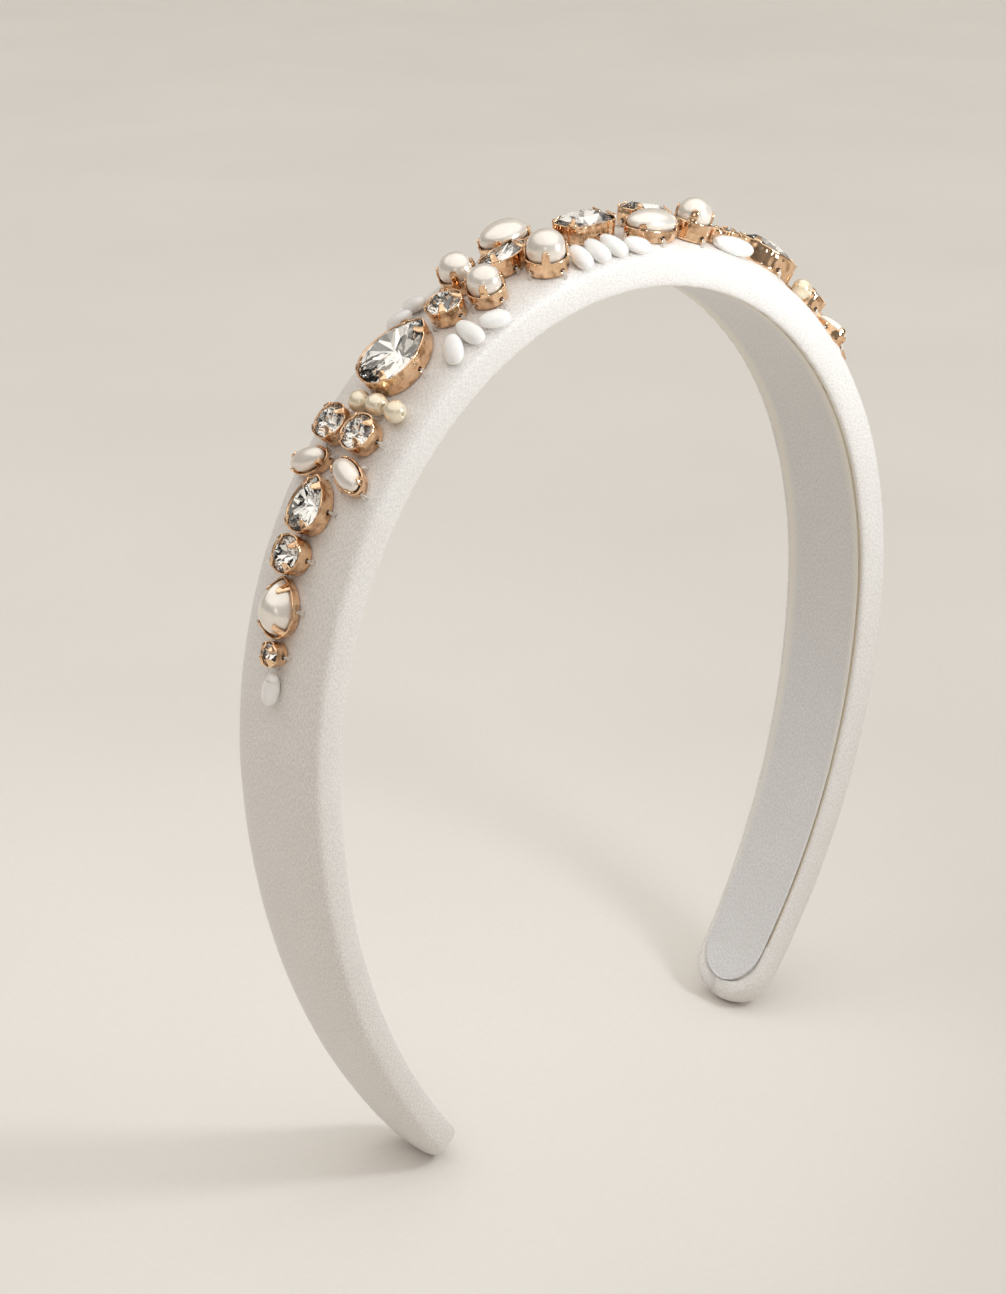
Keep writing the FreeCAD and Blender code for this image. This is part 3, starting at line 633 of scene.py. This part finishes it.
def paper_floor():
    """A seamless paper sheet, warm and nearly white."""
    material = new_material("studio_paper")
    nodes = Nodes(material)
    fibre = nodes.noise(nodes.coordinates(), 0.8, 5.0)
    cloud = nodes.noise(nodes.coordinates(), 0.008, 2.0)
    tone = nodes.mix(nodes.ramp(cloud, 0.0, 1.0, 0.35, 0.65), (0.83, 0.792, 0.742), (0.80, 0.765, 0.718))
    nodes.to(nodes.mix(nodes.ramp(fibre, 0.0, 0.25, 0.3, 0.7), tone, (0.74, 0.705, 0.655)), "Base Color")
    nodes.to(nodes.ramp(fibre, 0.75, 0.95), "Roughness")
    nodes.bump(fibre, 0.15, 0.1)
    return material


MATERIALS = {
    "ivory": satin("ivory_duchess_satin", (0.89, 0.85, 0.81), (0.86, 0.815, 0.775), 0.26, 0.42),
    "lining": satin("lining_ribbon", (0.80, 0.78, 0.77), (0.77, 0.748, 0.735), 0.26, 0.5, (0.82, 0.78, 0.70)),
    # The seam finish is painted shade for the lining's front groove.
    "seam": groove_shade_cloth(),
    "gold": rose_gold(),
    "crystal": crystal_glass(),
    "foil": foil(),
    "pearl": pearl_lustre("ivory_pearl_lustre", (0.96, 0.915, 0.85), (0.88, 0.82, 0.74)),
    "bead": pearl_lustre("cream_pearl_lustre", (0.95, 0.87, 0.70), (0.85, 0.73, 0.53)),
    "petal": opaque_bead(),
    "thread": thread_fibre(),
}

JEWELS = [(name, kind, spot) for name, kind, spots in CRYSTALS + PEARLS for spot in spots]


# ---- the satin cover ----

def lining_half(run):
    """Half the lining's width, down to nothing past its rounded end."""
    end_gap = LINING_END_GAP - LINING_REACH
    if abs(run) >= HALF_LENGTH - end_gap:
        return 0.0
    return (half_width(run) - LINING_INSET) * tip_factor(run, end_gap)[0]


def quarter(count):
    return [math.radians(90 * i / count) for i in range(count + 1)]


def cover_section(run):
    """The satin's section as (y, height, part).

    It runs over the top, round the padded edges, into the lining's groove and across under the lining.
    """
    narrow, thin = tip_factor(run, 0.0)
    half = half_width(run) * max(narrow, LEAST_TIP)
    edge = edge_thickness(run)
    middle = (COVER_LOW + edge) / 2
    roll = min(ROLL_WIDTH, 0.45 * half)
    start = half - roll
    groove = min(lining_half(run) + GROOVE_WIDTH, 0.85 * start)
    closed = smooth_step(lining_half(run) / 3.0)
    groove_height = ROLL_LOW + (GROOVE_HEIGHT - ROLL_LOW) * (0.35 + 0.65 * closed)
    top = []
    for i in range(57):
        angle = math.pi * (1 - i / 56)
        y = half * math.copysign(abs(math.cos(angle)) ** (2 / TOP_SQUARENESS), math.cos(angle))
        rise = math.sin(angle) ** (2 / TOP_SQUARENESS) if 0 < i < 56 else 0.0
        height = middle + (edge - middle) * thin * rise + DOME_RISE * rise * (1 - (y / half) ** 2)
        top.append((y, height, "top"))
    low = []
    for angle in quarter(10)[1:]:
        y = start + roll * math.cos(angle) ** (2 / ROLL_SQUARENESS)
        depth = (middle - ROLL_LOW) * math.sin(angle) ** (2 / ROLL_SQUARENESS)
        low.append((y, middle - depth * max(thin, 0.1), "roll"))
    bottom = middle - (middle - ROLL_LOW) * max(thin, 0.1)
    for angle in quarter(7)[1:]:
        y = start - (start - groove) * math.sin(angle)
        low.append((y, bottom + (groove_height - ROLL_LOW) * (1 - math.cos(angle)), "groove"))
    mirrored = [(-y, height, part) for y, height, part in reversed(low)]
    inner = max(groove - 1.6 * GROOVE_WIDTH, 0.3 * groove)
    under = min(UNDER_HEIGHT, groove_height) + bottom - ROLL_LOW
    flat = [(inner * share, under, "under") for share in (1.0, 0.35, -0.35, -1.0)]
    return flat[2:] + mirrored + top + low + flat[:2]


def ripple(run, y, height, part):
    """How far the cloth stands off its plain section.

    The satin has slack, gathers round the bend, and pleats at the tips.
    """
    side = 1.0 if y > 0 else -1.0
    amount = 0.07 * noise.noise(Vector((run / 7, y / 4, height / 4)))
    amount += 0.03 * noise.noise(Vector((run / 2.2, y / 2, height / 2 + 9)))
    if part in ("roll", "groove"):
        bend = smooth_step((110 - abs(run)) / 60) * smooth_step((1.4 - height) / 1.8)
        wander = 4.0 * noise.noise(Vector((run / 9, side * 5, 2.0)))
        amount += 0.05 * bend * math.sin(2 * math.pi * run / 3.6 + wander)
    end = smooth_step((abs(run) - (HALF_LENGTH - 7.0)) / 5.0)
    if end > 0 and part != "top":
        amount -= 0.45 * end * math.exp(-((y - 1.6) / 0.5) ** 2)
        amount += 0.25 * end * math.exp(-((y - 0.4) / 0.7) ** 2)
        amount += 0.12 * end * math.sin(y * 3.2 + run)
    return amount


def pressed(point, outward):
    """Move a point of the satin onto the base of the cup over it, and pucker it round the cup's edge."""
    for inverse, length, width in CUP_SEATS:
        local = inverse @ point
        if abs(local.x) > length + 3 or abs(local.y) > width + 3 or abs(local.z) > 3:
            continue
        reach = math.hypot(local.x / length, local.y / width)
        span = (reach - 1) * (length + width) / 2
        hold = 1 - smooth_step(span / 1.3)
        if hold > 0:
            point = point + outward * (hold * (-0.06 - local.z))
            swing = math.atan2(local.y, local.x)
            point = point - outward * (0.06 * hold * (1 - hold) * 4 * (0.6 + 0.4 * math.sin(6 * swing)))
    return point


def build_cover():
    """One closed skin of satin over the foam, turned in along both sides of the lining."""
    build = Build()
    runs = stations(0.0, STATION_STEP)
    columns = len(cover_section(0.0))
    verts = []
    uvs = []
    for run in runs:
        section = cover_section(run)
        around = 0.0
        turn = inner_point(run)[2]
        up = Vector((math.sin(turn), 0, math.cos(turn)))
        for i, (y, height, part) in enumerate(section):
            before = section[i - 1]
            after = section[(i + 1) % columns]
            if i:
                around += math.hypot(y - before[0], height - before[1])
            normal = Vector((0, -(after[1] - before[1]), after[0] - before[0]))
            normal = normal.normalized() if normal.length > 1e-6 else Vector((0, 0, 1))
            outward = Vector((0, normal.y, 0)) + up * normal.z
            point = place(run, y, height) + outward * ripple(run, y, height, part)
            if part == "top":
                point = pressed(point, outward)
            verts.append(point)
            uvs.append((run, around))
    faces = ring_faces(len(runs), columns)
    # Faces of the front groove along the lining's straight part take the dark brown finish, painted shade in
    # the groove.
    front = [y < 0 and part == "groove" for y, height, part in cover_section(0.0)]
    finish = []
    for run in runs[:-1]:
        groove_shaded = abs(run) < HALF_LENGTH - LINING_END_GAP - TIP_ROUNDING
        finish += [int(groove_shaded and front[i] and front[(i + 1) % columns]) for i in range(columns)]
    build.add(verts, faces, finish=finish + [0, 0], uvs=uvs)
    cover = build.piece("satin_skin", [MATERIALS["ivory"], MATERIALS["seam"]], ["satin_cover"])
    return cover


def build_lining():
    """A satin ribbon stuck inside the band, its long edges folded under and a corner lifting at one tip."""
    build = Build()
    across = [math.cos(math.pi * i / 16) for i in range(17)]
    end_gap = LINING_END_GAP - LINING_REACH
    runs = stations(end_gap, STATION_STEP)
    verts = []
    uvs = []
    for run in runs:
        half = (half_width(run) - LINING_INSET) * max(tip_factor(run, end_gap)[0], LEAST_TIP)
        lap = LINING_LAP * tip_factor(run, end_gap)[0]
        lift = 0.8 * smooth_step((-run - (HALF_LENGTH - LINING_END_GAP - 9)) / 9)
        lift += 0.25 * smooth_step((run - (HALF_LENGTH - LINING_END_GAP - 5)) / 5)
        lower = []
        upper = []
        for share in across:
            y = half * share + lap * max(share, 0.0)
            hem = math.exp(-((half - abs(half * share) - 0.35) / 0.4) ** 2) * 0.16
            wave = 0.05 * noise.noise(Vector((run / 8, y / 4, 3.0)))
            thick = math.sqrt(max(1 - share ** 12, 0.0))
            inside = -hem - wave - lift * (0.4 + 0.6 * smooth_step(y / half + 0.5))
            middle = inside + LINING_TOP / 2
            lower.append((y, middle - LINING_TOP / 2 * thick))
            upper.append((y, middle + LINING_TOP / 2 * thick))
        for y, height in upper + list(reversed(lower[1:-1])):
            verts.append(place(run, y, height))
            uvs.append((run, y))
    columns = 2 * len(across) - 2
    build.add(verts, ring_faces(len(runs), columns), uvs=uvs)
    lining = build.piece("lining_ribbon", [MATERIALS["lining"]], ["lining_strip"])


# ---- settings ----

def dome_ring(kind, rise):
    """Outline scale and height of a mounted pearl's surface at an angle over its widest line."""
    length, width, cup = KINDS[kind]
    if kind == "drop_pearl":
        base = 0.35
        return math.cos(rise), base + (cup - base + DROP_DOME * width) * math.sin(rise)
    up = width / 2 * (OVAL_PEARL_HEIGHT if kind in OUTLINES else 1.0)
    return math.cos(rise), cup + PEARL_LIFT * up + up * math.sin(rise)


def claw_path(kind, leaning):
    """Rows of a claw over the rim: outline scale, stand-off and height, and the claw's width."""
    cup = KINDS[kind][2]
    if leaning:
        tip = 0.9 if KINDS[kind][1] > 4 else 0.65
        rows = [(1.0, CUP_OUTSIDE + 0.02, cup + 0.22, 1.0), (1.0, CUP_OUTSIDE - 0.12, cup + 0.42, 0.95)]
        for share in (0.0, 0.35, 0.7, 1.0):
            inset = tip * share
            rows.append((1.0, -inset, cup + 0.36 + inset * math.tan(CROWN_SLOPE), 0.95 - 0.15 * share))
        rows.append((1.0, -tip - 0.2, cup + 0.3 + (tip + 0.2) * math.tan(CROWN_SLOPE), 0.4))
        return rows
    widest = dome_ring(kind, 0.0)[1]
    dome = dome_ring(kind, 1.5)[1] - widest
    start = math.asin(max(-1.0, (cup + 0.25 - widest) / dome))
    reach = CLAW_LENGTH / max(dome, KINDS[kind][0] / 2)
    rows = []
    for share, taper in ((0.0, 0.95), (0.25, 0.92), (0.5, 0.88), (0.75, 0.84), (0.92, 0.7), (1.0, 0.35)):
        rise = start + share * reach
        scale, height = dome_ring(kind, rise)
        rows.append((scale, CLAW_STAND_OFF * math.cos(rise),
                     height + CLAW_STAND_OFF * math.sin(max(rise, 0.0)), taper))
    return rows


def cup_mesh(kind, leaning, rng):
    """One stamped cup as a single sheet.

    It has a floor, a rounded foot, a wall with sew holes, and claws that grow out of its rim.
    """
    length, width, cup = KINDS[kind]
    rim = Rim(kind, COLUMN_STEP)
    flutes = max(6, round(rim.count * rim.step / FLUTE_SPACING))
    count = math.ceil((cup - FOOT_HEIGHT) / 0.2)
    rows = [(0.3, 0.0, 0.1), (0.65, 0.0, 0.1), (0.9, 0.0, 0.08), (1.0, -0.12, 0.05), (1.0, 0.08, 0.12),
            (1.0, 0.2, 0.3)]  # outline scale, offset and height
    foot_rows = len(rows) - 1
    for i in range(count + 1):
        share = i / count
        flare = WALL_START + (CUP_OUTSIDE - WALL_START) * smooth_step(share * 1.4)
        rows.append((1.0, flare, FOOT_HEIGHT + (cup - FOOT_HEIGHT) * share))
    verts = []
    for scale, offset, z in rows:
        wall = 1.0 if 0.4 < z < cup - 0.25 else 0.0
        for c in range(rim.count):
            flute = FLUTE_DEPTH * wall * (math.cos(2 * math.pi * c * flutes / rim.count) - 1)
            point = rim.points[c] * scale + rim.normals[c] * (offset + flute)
            verts.append(Vector((point.x, point.y, z)))
    holes = [rim.nearest(Vector(spot)) for spot in
             ((length / 2, 0, 0), (-length / 2, 0, 0), (0, width / 2, 0), (0, -width / 2, 0))]

    def from_hole(column, z):
        """Distance along the wall to the nearest sew hole."""
        gap = min(abs((column - hole + rim.count / 2) % rim.count - rim.count / 2) for hole in holes)
        return math.hypot(gap * rim.step, z - SEW_HOLE_HEIGHT)

    faces = []
    for r in range(len(rows) - 1):
        for c in range(rim.count):
            centre = (rows[r][2] + rows[r + 1][2]) / 2
            if r >= foot_rows and from_hole(c + 0.5, centre) < SEW_HOLE:
                continue
            after = (c + 1) % rim.count
            faces.append((r * rim.count + c, r * rim.count + after,
                          (r + 1) * rim.count + after, (r + 1) * rim.count + c))
    faces.append(tuple(reversed(range(rim.count))))
    top = (len(rows) - 1) * rim.count
    reach = max(2, round(CLAW_HALF_WIDTH / rim.step))
    for degrees in CLAW_ANGLES[OUTLINES.get(kind, "round")]:
        middle = rim.nearest(outline_point(kind, math.radians(degrees)))
        lean = 1 + 0.06 * rng.uniform(-1, 1)
        before = [top + (middle + k) % rim.count for k in range(-reach, reach + 1)]
        for scale, offset, z, share in claw_path(kind, leaning):
            row = []
            for k in range(-reach, reach + 1):
                point, normal = rim.at(middle + k * share)
                point = point * scale + normal * (offset * lean)
                crown = CLAW_SWELL * (1 - (k / reach) ** 2)
                row.append(len(verts))
                verts.append(Vector((point.x, point.y, z + crown)))
            faces += [(before[i], before[i + 1], row[i + 1], row[i]) for i in range(2 * reach)]
            before = row
    return verts, faces


def build_setting(name, kind, spots, leaning, rng):
    build = Build()
    for spot in spots:
        verts, faces = cup_mesh(kind, leaning, rng)
        build.add(verts, faces, seat(*spot))
    item = build.piece(f"{name}_cup", [MATERIALS["gold"]], [f"{name}_setting"])
    solid = item.modifiers.new("sheet_metal", "SOLIDIFY")
    solid.thickness = SHEET_METAL * MM
    solid.offset = -1.0


# ---- stones and pearls ----

def between(first, second):
    return first + ((second - first) % (2 * math.pi)) / 2


def main_angles(kind):
    """Directions of a stone's main corners."""
    form = OUTLINES.get(kind, "round")
    if form not in ("octagon", "baguette"):
        return [2 * math.pi * i / 8 for i in range(8)]
    length, width = KINDS[kind][0] / 2, KINDS[kind][1] / 2
    if form == "baguette":
        corner = math.atan2(1.0, 1.0)
        side = math.pi / 2
        return [corner, side, math.pi - corner, math.pi, corner - math.pi, -side, -corner, 0.0]
    reach = (length + width) * OCTAGON_CORNER
    first = [math.atan2((reach - length) / width, 1.0), math.atan2(1.0, (reach - width) / length)]
    return (first + [math.pi - a for a in reversed(first)] + [a - math.pi for a in first]
            + [-a for a in reversed(first)])


def stone_mesh(kind):
    """A cut stone.

    Over the girdle it has a glass table, stars, kites and halves, and under it a foiled pavilion.
    """
    width, cup = KINDS[kind][1:]
    mains = main_angles(kind)
    count = len(mains)
    middles = [between(mains[i], mains[(i + 1) % count]) for i in range(count)]
    around = [angle for pair in zip(mains, middles) for angle in pair]
    top = cup - GIRDLE_DROP
    rise = (1 - TABLE_SCALE) * width / 2 * math.tan(CROWN_SLOPE)
    bottom = 0.6

    def ring(angles, scale, z):
        return [outline_point(kind, angle) * scale + Vector((0, 0, z)) for angle in angles]

    verts = (ring(mains, TABLE_SCALE, top + rise)
             + ring(middles, (1 + TABLE_SCALE) / 2, top + rise * CROWN_SWELL)
             + ring(around, 1.0, top) + ring(around, 1.0, top - GIRDLE)
             + ring(middles, 0.42, bottom + 0.32 * (top - bottom)) + [Vector((0, 0, bottom))])
    star, upper, lower, keel = count, 2 * count, 4 * count, 6 * count
    culet = 7 * count
    faces = [tuple(range(count))]
    glass = 1
    for i in range(count):
        after = (i + 1) % count
        before = (i - 1) % count
        corner = upper + 2 * i
        faces += [(i, star + i, after), (i, star + before, corner), (i, corner, star + i),
                  (star + i, corner, corner + 1), (star + i, corner + 1, upper + 2 * after)]
        glass += 5
    for j in range(2 * count):
        after = (j + 1) % (2 * count)
        faces.append((upper + j, lower + j, lower + after, upper + after))
        glass += 1
    for i in range(count):
        after = (i + 1) % count
        before = (i - 1) % count
        corner = lower + 2 * i
        faces += [(corner, keel + before, culet), (corner, culet, keel + i),
                  (corner, keel + i, corner + 1), (corner + 1, keel + i, lower + 2 * after)]
    return verts, faces, [0] * glass + [1] * (len(faces) - glass)


def build_crystal(name, kind, spots):
    build = Build()
    verts, faces, finish = stone_mesh(kind)
    for spot in spots:
        build.add(verts, faces, seat(*spot), finish)
    finishes = [MATERIALS["crystal"], MATERIALS["foil"]]
    build.piece(f"{name}_stone", finishes, [f"{name}_crystal"], smooth=False)


def build_pearl(name, kind, spots, rng):
    """A mounted pearl, its surface very slightly uneven."""
    build = Build()
    rim = Rim(kind, 0.3)
    first = 0.0 if kind == "drop_pearl" else -90.0
    rows = 28
    for spot in spots:
        seed = Vector((rng.uniform(0, 50), rng.uniform(0, 50), 0))
        verts = []
        for r in range(rows + 1):
            scale, z = dome_ring(kind, math.radians(first + (89.5 - first) * r / rows))
            for c in range(rim.count):
                point = rim.points[c] * max(scale, 0.01)
                point.z = z
                verts.append(point * (1 + PEARL_UNEVENNESS * noise.noise(point / 2.5 + seed)))
        build.add(verts, ring_faces(rows + 1, rim.count), seat(*spot))
    build.piece(f"{name}_nacre", [MATERIALS["pearl"]], [f"{name}_pearl"])


# ---- beads and thread ----

def drilled_ball():
    """A pearl bead turned about its thread hole, which runs along y."""
    profile = [(BEAD_HOLE * 0.9, -BEAD_RADIUS * 0.6)]
    start = math.asin(BEAD_HOLE / BEAD_RADIUS)
    for i in range(25):
        angle = start + (math.pi - 2 * start) * i / 24
        soften = 0.06 if i in (0, 24) else 0.0
        profile.append((BEAD_RADIUS * math.sin(angle), -(BEAD_RADIUS - soften) * math.cos(angle)))
    profile.append((BEAD_HOLE * 0.9, BEAD_RADIUS * 0.6))
    columns = 36
    verts = []
    for radius, y in profile:
        for c in range(columns):
            swing = -2 * math.pi * c / columns
            verts.append(Vector((radius * math.cos(swing), y, radius * math.sin(swing))))
    return verts, ring_faces(len(profile), columns)


def petal_mesh(halves, rng):
    """A flattened drop bead, narrower at its drilled end."""
    along, across, up = halves
    rows, columns = 24, 30
    if along > PETAL_HALF[0]:
        across, up = LONG_PETAL_SWELL[0] * across, LONG_PETAL_SWELL[1] * up
    verts = []
    seed = Vector((rng.uniform(0, 50), 0, 0))
    for r in range(rows + 1):
        angle = math.pi * (0.004 + 0.992 * r / rows)
        x = -math.cos(angle)
        girth = PETAL_GIRTH * math.sin(angle) ** 0.82 * (1 + 0.08 * x)
        for c in range(columns):
            swing = -2 * math.pi * c / columns
            point = Vector((along * x, across * girth * math.cos(swing), up * girth * math.sin(swing)))
            verts.append(point * (1 + 0.02 * noise.noise(point / 2 + seed)))
    faces = [tuple(reversed(face)) for face in ring_faces(rows + 1, columns)]
    return verts, faces


def build_beads(rng):
    build = Build()
    verts, faces = drilled_ball()
    for run, y in BEAD_PEARLS:
        tilt = Matrix.Rotation(math.radians(rng.uniform(-12, 12)), 4, "X")
        build.add(verts, faces, seat(run, y, 0) @ Matrix.Translation((0, 0, BEAD_RADIUS)) @ tilt)
    build.piece("pearl_beads", [MATERIALS["bead"]], ["bead_pearls"])
    for name, node, halves, spots in (("petals", "petal_beads", PETAL_HALF, PETALS),
                                      ("long_petals", "long_petal_beads", LONG_PETAL_HALF, LONG_PETALS)):
        build = Build()
        for run, y, turn in spots:
            verts, faces = petal_mesh(halves, rng)
            leaning = halves == PETAL_HALF and abs(run) < LEANING_PETALS_END
            lean = Matrix.Rotation(math.radians(PETAL_LEAN if leaning else FLAT_LEAN), 4, "Y")
            lift = Matrix.Translation((0, 0, halves[2] + PETAL_GAP))
            build.add(verts, faces, seat(run, y, turn) @ lift @ lean)
        build.piece(name, [MATERIALS["petal"]], [node])


def tube(points, radius, sides=6):
    """A round thread through points."""
    verts = []
    for i, point in enumerate(points):
        ahead = points[min(i + 1, len(points) - 1)] - points[max(i - 1, 0)]
        side = ahead.cross(Vector((0.3, 0.9, 0.2))).normalized()
        up = ahead.cross(side).normalized()
        for k in range(sides):
            swing = 2 * math.pi * k / sides
            verts.append(point + side * (radius * math.cos(swing)) + up * (radius * math.sin(swing)))
    return verts, ring_faces(len(points), sides)


def build_thread(rng):
    """Strands from the satin up into each cup's sew holes, and loops over the petals' drilled ends."""
    build = Build()
    hole = Vector((0, 0, SEW_HOLE_HEIGHT))
    for name, kind, spot in JEWELS:
        length, width, cup = KINDS[kind]
        matrix = seat(*spot)
        for direction, wall in (((1, 0, 0), length / 2), ((-1, 0, 0), length / 2),
                                ((0, 1, 0), width / 2), ((0, -1, 0), width / 2)):
            out = Vector(direction)
            across = Vector((-out.y, out.x, 0))
            for strand in range(3):
                fan = (strand - 1) * 0.32 + rng.uniform(-0.08, 0.08)
                foot = wall + CUP_OUTSIDE + rng.uniform(0.45, 0.75)
                edge = wall + CUP_OUTSIDE
                path = [out * (wall - 0.1) + hole,
                        out * (edge + 0.12) + across * (fan * 0.4) + hole,
                        out * (edge + 0.42) + across * (fan * 0.8) + Vector((0, 0, 0.55)),
                        out * foot + across * fan + Vector((0, 0, -0.35))]
                verts, faces = tube(path, THREAD_RADIUS)
                build.add(verts, faces, matrix)
    for halves, spots in ((PETAL_HALF, PETALS), (LONG_PETAL_HALF, LONG_PETALS)):
        for spot in spots:
            matrix = seat(*spot)
            centre = -0.55 * PETAL_HALF[0]
            girth = 0.86
            path = []
            for i in range(9):
                swing = math.pi * i / 8
                y = (halves[1] * girth + 0.08) * math.cos(swing)
                z = halves[2] + PETAL_GAP + (halves[2] * girth + THREAD_RADIUS) * math.sin(swing)
                path.append(Vector((centre, y, z)))
            drop = Vector((0, 0, halves[2] + 0.3))
            path = [path[0] - drop] + path + [path[-1] - drop]
            verts, faces = tube(path, THREAD_RADIUS * PETAL_THREAD_SHARE)
            build.add(verts, faces, matrix)
    build.piece("stitches", [MATERIALS["thread"]], ["sewing_thread"])


# ---- the studio ----

def build_stage():
    """A pale floor that sweeps up far behind the object."""
    profile = [(-FLOOR_REACH, 0.0), (FLOOR_DEPTH, 0.0)]
    for angle in quarter(SWEEP_STEPS)[1:]:
        profile.append((FLOOR_DEPTH + SWEEP_RADIUS * math.sin(angle), SWEEP_RADIUS * (1 - math.cos(angle))))
    profile.append((FLOOR_DEPTH + SWEEP_RADIUS, FLOOR_REACH))
    back = Vector((-math.sin(CAMERA_AZIMUTH), math.cos(CAMERA_AZIMUTH), 0))
    side = Vector((back.y, -back.x, 0))
    verts = []
    for depth, z in profile:
        for sign in (-1, 1):
            verts.append((back * depth + side * (sign * FLOOR_REACH) + Vector((0, 0, z + FLOOR_Z))) * MM)
    faces = [(2 * i, 2 * i + 1, 2 * i + 3, 2 * i + 2) for i in range(len(profile) - 1)]
    mesh = bpy.data.meshes.new("studio_floor")
    mesh.from_pydata(verts, [], faces)
    mesh.materials.append(paper_floor())
    mesh.polygons.foreach_set("use_smooth", [True] * len(faces))
    floor = bpy.data.objects.new("studio_floor", mesh)
    bpy.context.scene.collection.objects.link(floor)


def look_matrix(position, target, roll=0.0):
    """A camera's or light's matrix at position, with its -Z towards target."""
    back = (position - target).normalized()
    right = Vector((0, 0, 1)).cross(back).normalized()
    up = back.cross(right)
    turned = right * math.cos(roll) + up * math.sin(roll)
    up = up * math.cos(roll) - right * math.sin(roll)
    matrix = Matrix((turned, up, back)).transposed().to_4x4()
    matrix.translation = position
    return matrix


def add_area_light(name, position, target, size, power, colour, shape="RECTANGLE", size_y=None, spread=180.0):
    light = bpy.data.lights.new(name, "AREA")
    light.shape = shape
    light.size = size
    if shape == "RECTANGLE":
        light.size_y = size_y or size
    light.spread = math.radians(spread)
    light.energy = power
    light.color = colour
    item = bpy.data.objects.new(name, light)
    item.matrix_world = look_matrix(Vector(position), Vector(target))
    bpy.context.scene.collection.objects.link(item)


def build_world():
    """Studio surroundings: a pale band at the horizon, darker between the lamps, pale again overhead."""
    world = bpy.data.worlds.new("studio")
    bpy.context.scene.world = world
    world.use_nodes = True
    nodes = world.node_tree.nodes
    links = world.node_tree.links
    background = nodes["Background"]
    texture = nodes.new("ShaderNodeTexCoord")
    split = nodes.new("ShaderNodeSeparateXYZ")
    ramp = nodes.new("ShaderNodeValToRGB")
    links.new(texture.outputs["Generated"], split.inputs[0])
    links.new(split.outputs["Z"], ramp.inputs[0])
    links.new(ramp.outputs[0], background.inputs["Color"])
    ramp.color_ramp.elements[0].color = (0.22, 0.205, 0.19, 1)
    ramp.color_ramp.elements[0].position = 0.0
    ramp.color_ramp.elements[1].color = (1.0, 0.98, 0.94, 1)
    ramp.color_ramp.elements[1].position = 1.0
    for position, colour in ((0.12, (0.20, 0.19, 0.175, 1)), (0.22, (0.16, 0.15, 0.14, 1)),
                             (0.46, (0.20, 0.19, 0.18, 1)), (0.60, (0.95, 0.93, 0.90, 1))):
        element = ramp.color_ramp.elements.new(position)
        element.color = colour
    background.inputs["Strength"].default_value = WORLD_STRENGTH


def build_camera():
    camera = bpy.data.cameras.new("camera")
    camera.sensor_fit = "VERTICAL"
    camera.sensor_height = 36.0
    camera.lens = CAMERA_LENS
    camera.clip_start = 0.01
    camera.clip_end = 20.0
    item = bpy.data.objects.new("camera", camera)
    direction = Vector((math.sin(CAMERA_AZIMUTH) * math.cos(CAMERA_ELEVATION),
                        -math.cos(CAMERA_AZIMUTH) * math.cos(CAMERA_ELEVATION), math.sin(CAMERA_ELEVATION)))
    item.matrix_world = look_matrix(CAMERA_TARGET + direction * CAMERA_DISTANCE, CAMERA_TARGET, CAMERA_ROLL)
    bpy.context.scene.collection.objects.link(item)
    bpy.context.scene.camera = item


CUP_SEATS = [(seat(*spot).inverted(), KINDS[kind][0] / 2 + 0.2, KINDS[kind][1] / 2 + 0.2)
             for name, kind, spot in JEWELS]
FLOOR_Z = min(cad_box[0].z / MM, 0.0)

rng = random.Random(7)
cover = build_cover()
build_lining()
for name, kind, spots in CRYSTALS:
    build_crystal(name, kind, spots)
    build_setting(name, kind, spots, True, rng)
for name, kind, spots in PEARLS:
    build_pearl(name, kind, spots, rng)
    build_setting(name, kind, spots, False, rng)
build_beads(rng)
build_thread(rng)
for node, material in (("core_band", moulded_plastic()), ("foam_pad", foam_cells())):
    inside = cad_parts[node].data
    inside.materials.clear()
    inside.materials.append(material)

build_stage()
build_world()
add_area_light("key", (0.065, -0.147, 0.187), (-0.045, 0.10, 0.06), 0.05, 0.058, (0.885, 0.95, 1.0),
               "DISK", spread=86)
add_area_light("left_box", (-0.38, -0.36, 0.26), (-0.02, 0.0, 0.10), 0.13, 0.016, (1.0, 0.98, 0.96),
               spread=90)
add_area_light("overhead", (-0.15, 0.25, 0.95), (0.0, 0.0, 0.0), 0.6, 0.12, (1.0, 0.985, 0.96))
build_camera()
bpy.context.scene.view_settings.view_transform = "Standard"
